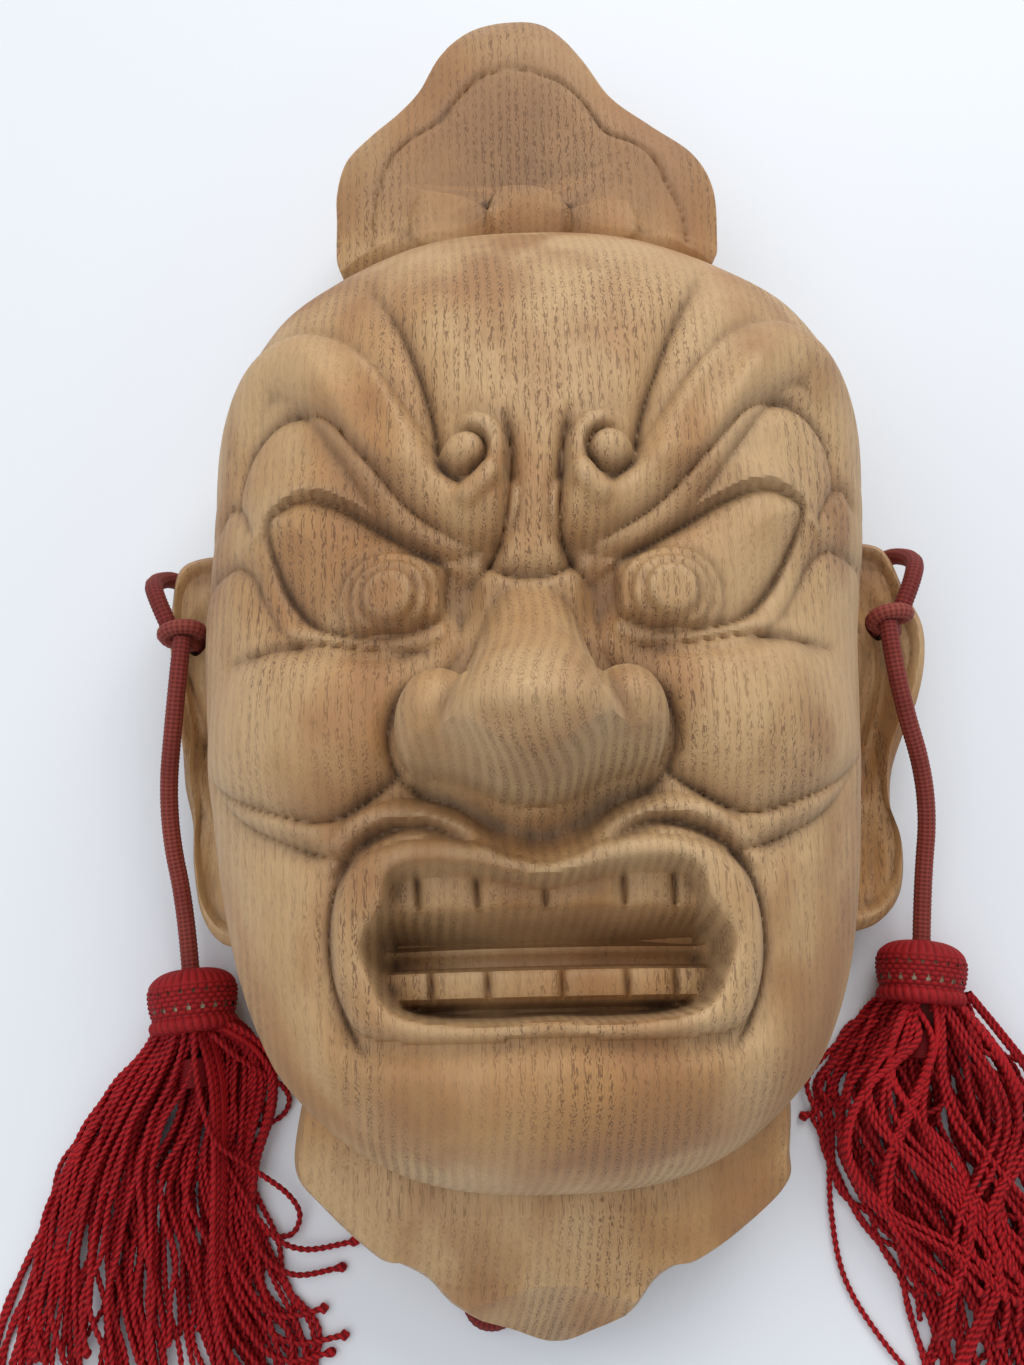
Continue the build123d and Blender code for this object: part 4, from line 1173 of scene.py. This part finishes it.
# The right skirt bulges to the left under its cap, then sweeps back and hangs in crossing locks.
inner_left = [(84, -107), (79.5, -110), (72, -118), (66.5, -127), (66, -136), (69, -146), (75, -156),
              (82, -166), (85.5, -177), (86.5, -191)]
inner_right = [(94, -107), (93, -111), (92, -120), (91, -129), (92, -139), (96, -149), (102, -159),
               (107, -170), (110, -181), (112, -193)]
outer_left = [(88, -107), (89, -111), (89, -120), (90, -130), (92, -140), (95, -150), (98, -160),
              (100, -171), (101, -182), (100, -193)]
outer_right = [(101, -106), (104.5, -111), (110, -119), (115, -127), (119, -138), (123, -149), (127, -160),
               (130, -171), (132, -182), (132, -193)]
tall = [17, 18, 17, 15.5, 14, 12, 10.5, 9, 7.5, 6]
right_paths = []
for fan in (bundle(8, 42, (91.3, -105, 11), tall, inner_left, inner_right, 1.9, 0.06),
            bundle(9, 46, (91.3, -105, 11), tall, outer_left, outer_right, 2.2, 0.09)):
    for k in range(fan.shape[1]):
        keep = 10 if pick.random() < 0.75 else 9
        right_paths.append((smooth_through(fan[:keep, k]), pick.random() < 0.4, pick.random() * 6))
for k in range(10):
    # Locks of two or three strands that wave across the others.
    phase, reach, begin = pick.random() * 6.3, 0.25 + 0.5 * pick.random(), pick.random()
    lock = [(84.5 + 14 * begin, -107.5, 17.5 - 6 * abs(begin - 0.5))]
    for row in range(1, 10):
        low, high = inner_left[row][0], outer_right[row][0]
        wave = 0.5 + (begin - 0.5) * 0.7 + 0.42 * reach * math.sin(phase + row * (0.6 + 0.25 * reach))
        lock.append((low + (high - low) * min(0.93, max(0.05, wave)), -107.5 - 9.3 * row,
                     tall[row] * 0.95 + 0.6))
    right_paths += family(pick, lock[:8 + k % 3], 2 + k % 2, 1.1)
right_paths += family(pick, [(101, -107, 14), (109, -117, 10), (117, -128, 7), (122, -140, 5),
                             (124, -155, 4), (128, -170, 3), (130, -186, 2)], 5, 2.0)
right_paths.append((smooth_through([(80, -112, 10), (72, -121, 5), (67.5, -132, 2), (67.4, -142, 1.2),
                                    (66.6, -156, 0.9), (68.5, -170.5, 0.8), (76.2, -183.8, 0.8),
                                    (87.5, -197, 0.8)]),
                    False, 0.5))
right_paths.append((smooth_through([(84, -108, 9), (77, -116, 4), (70, -126, 1.5), (66, -132.5, 0.9),
                                    (61, -134.6, 0.8)]), True, 1.5))
for side_name, paths in (("left", left_paths), ("right", right_paths)):
    third = (len(paths) + 2) // 3
    for number in range(3):
        piece = strand_mesh(f"{side_name}_tassel_strands_{number + 1}",
                            paths[number * third:(number + 1) * third])
        nodes = [side_name + "_tassel_skirt"] if number == 0 else []
        finish_piece(piece, strand_paint, "tassel_strands", *nodes)
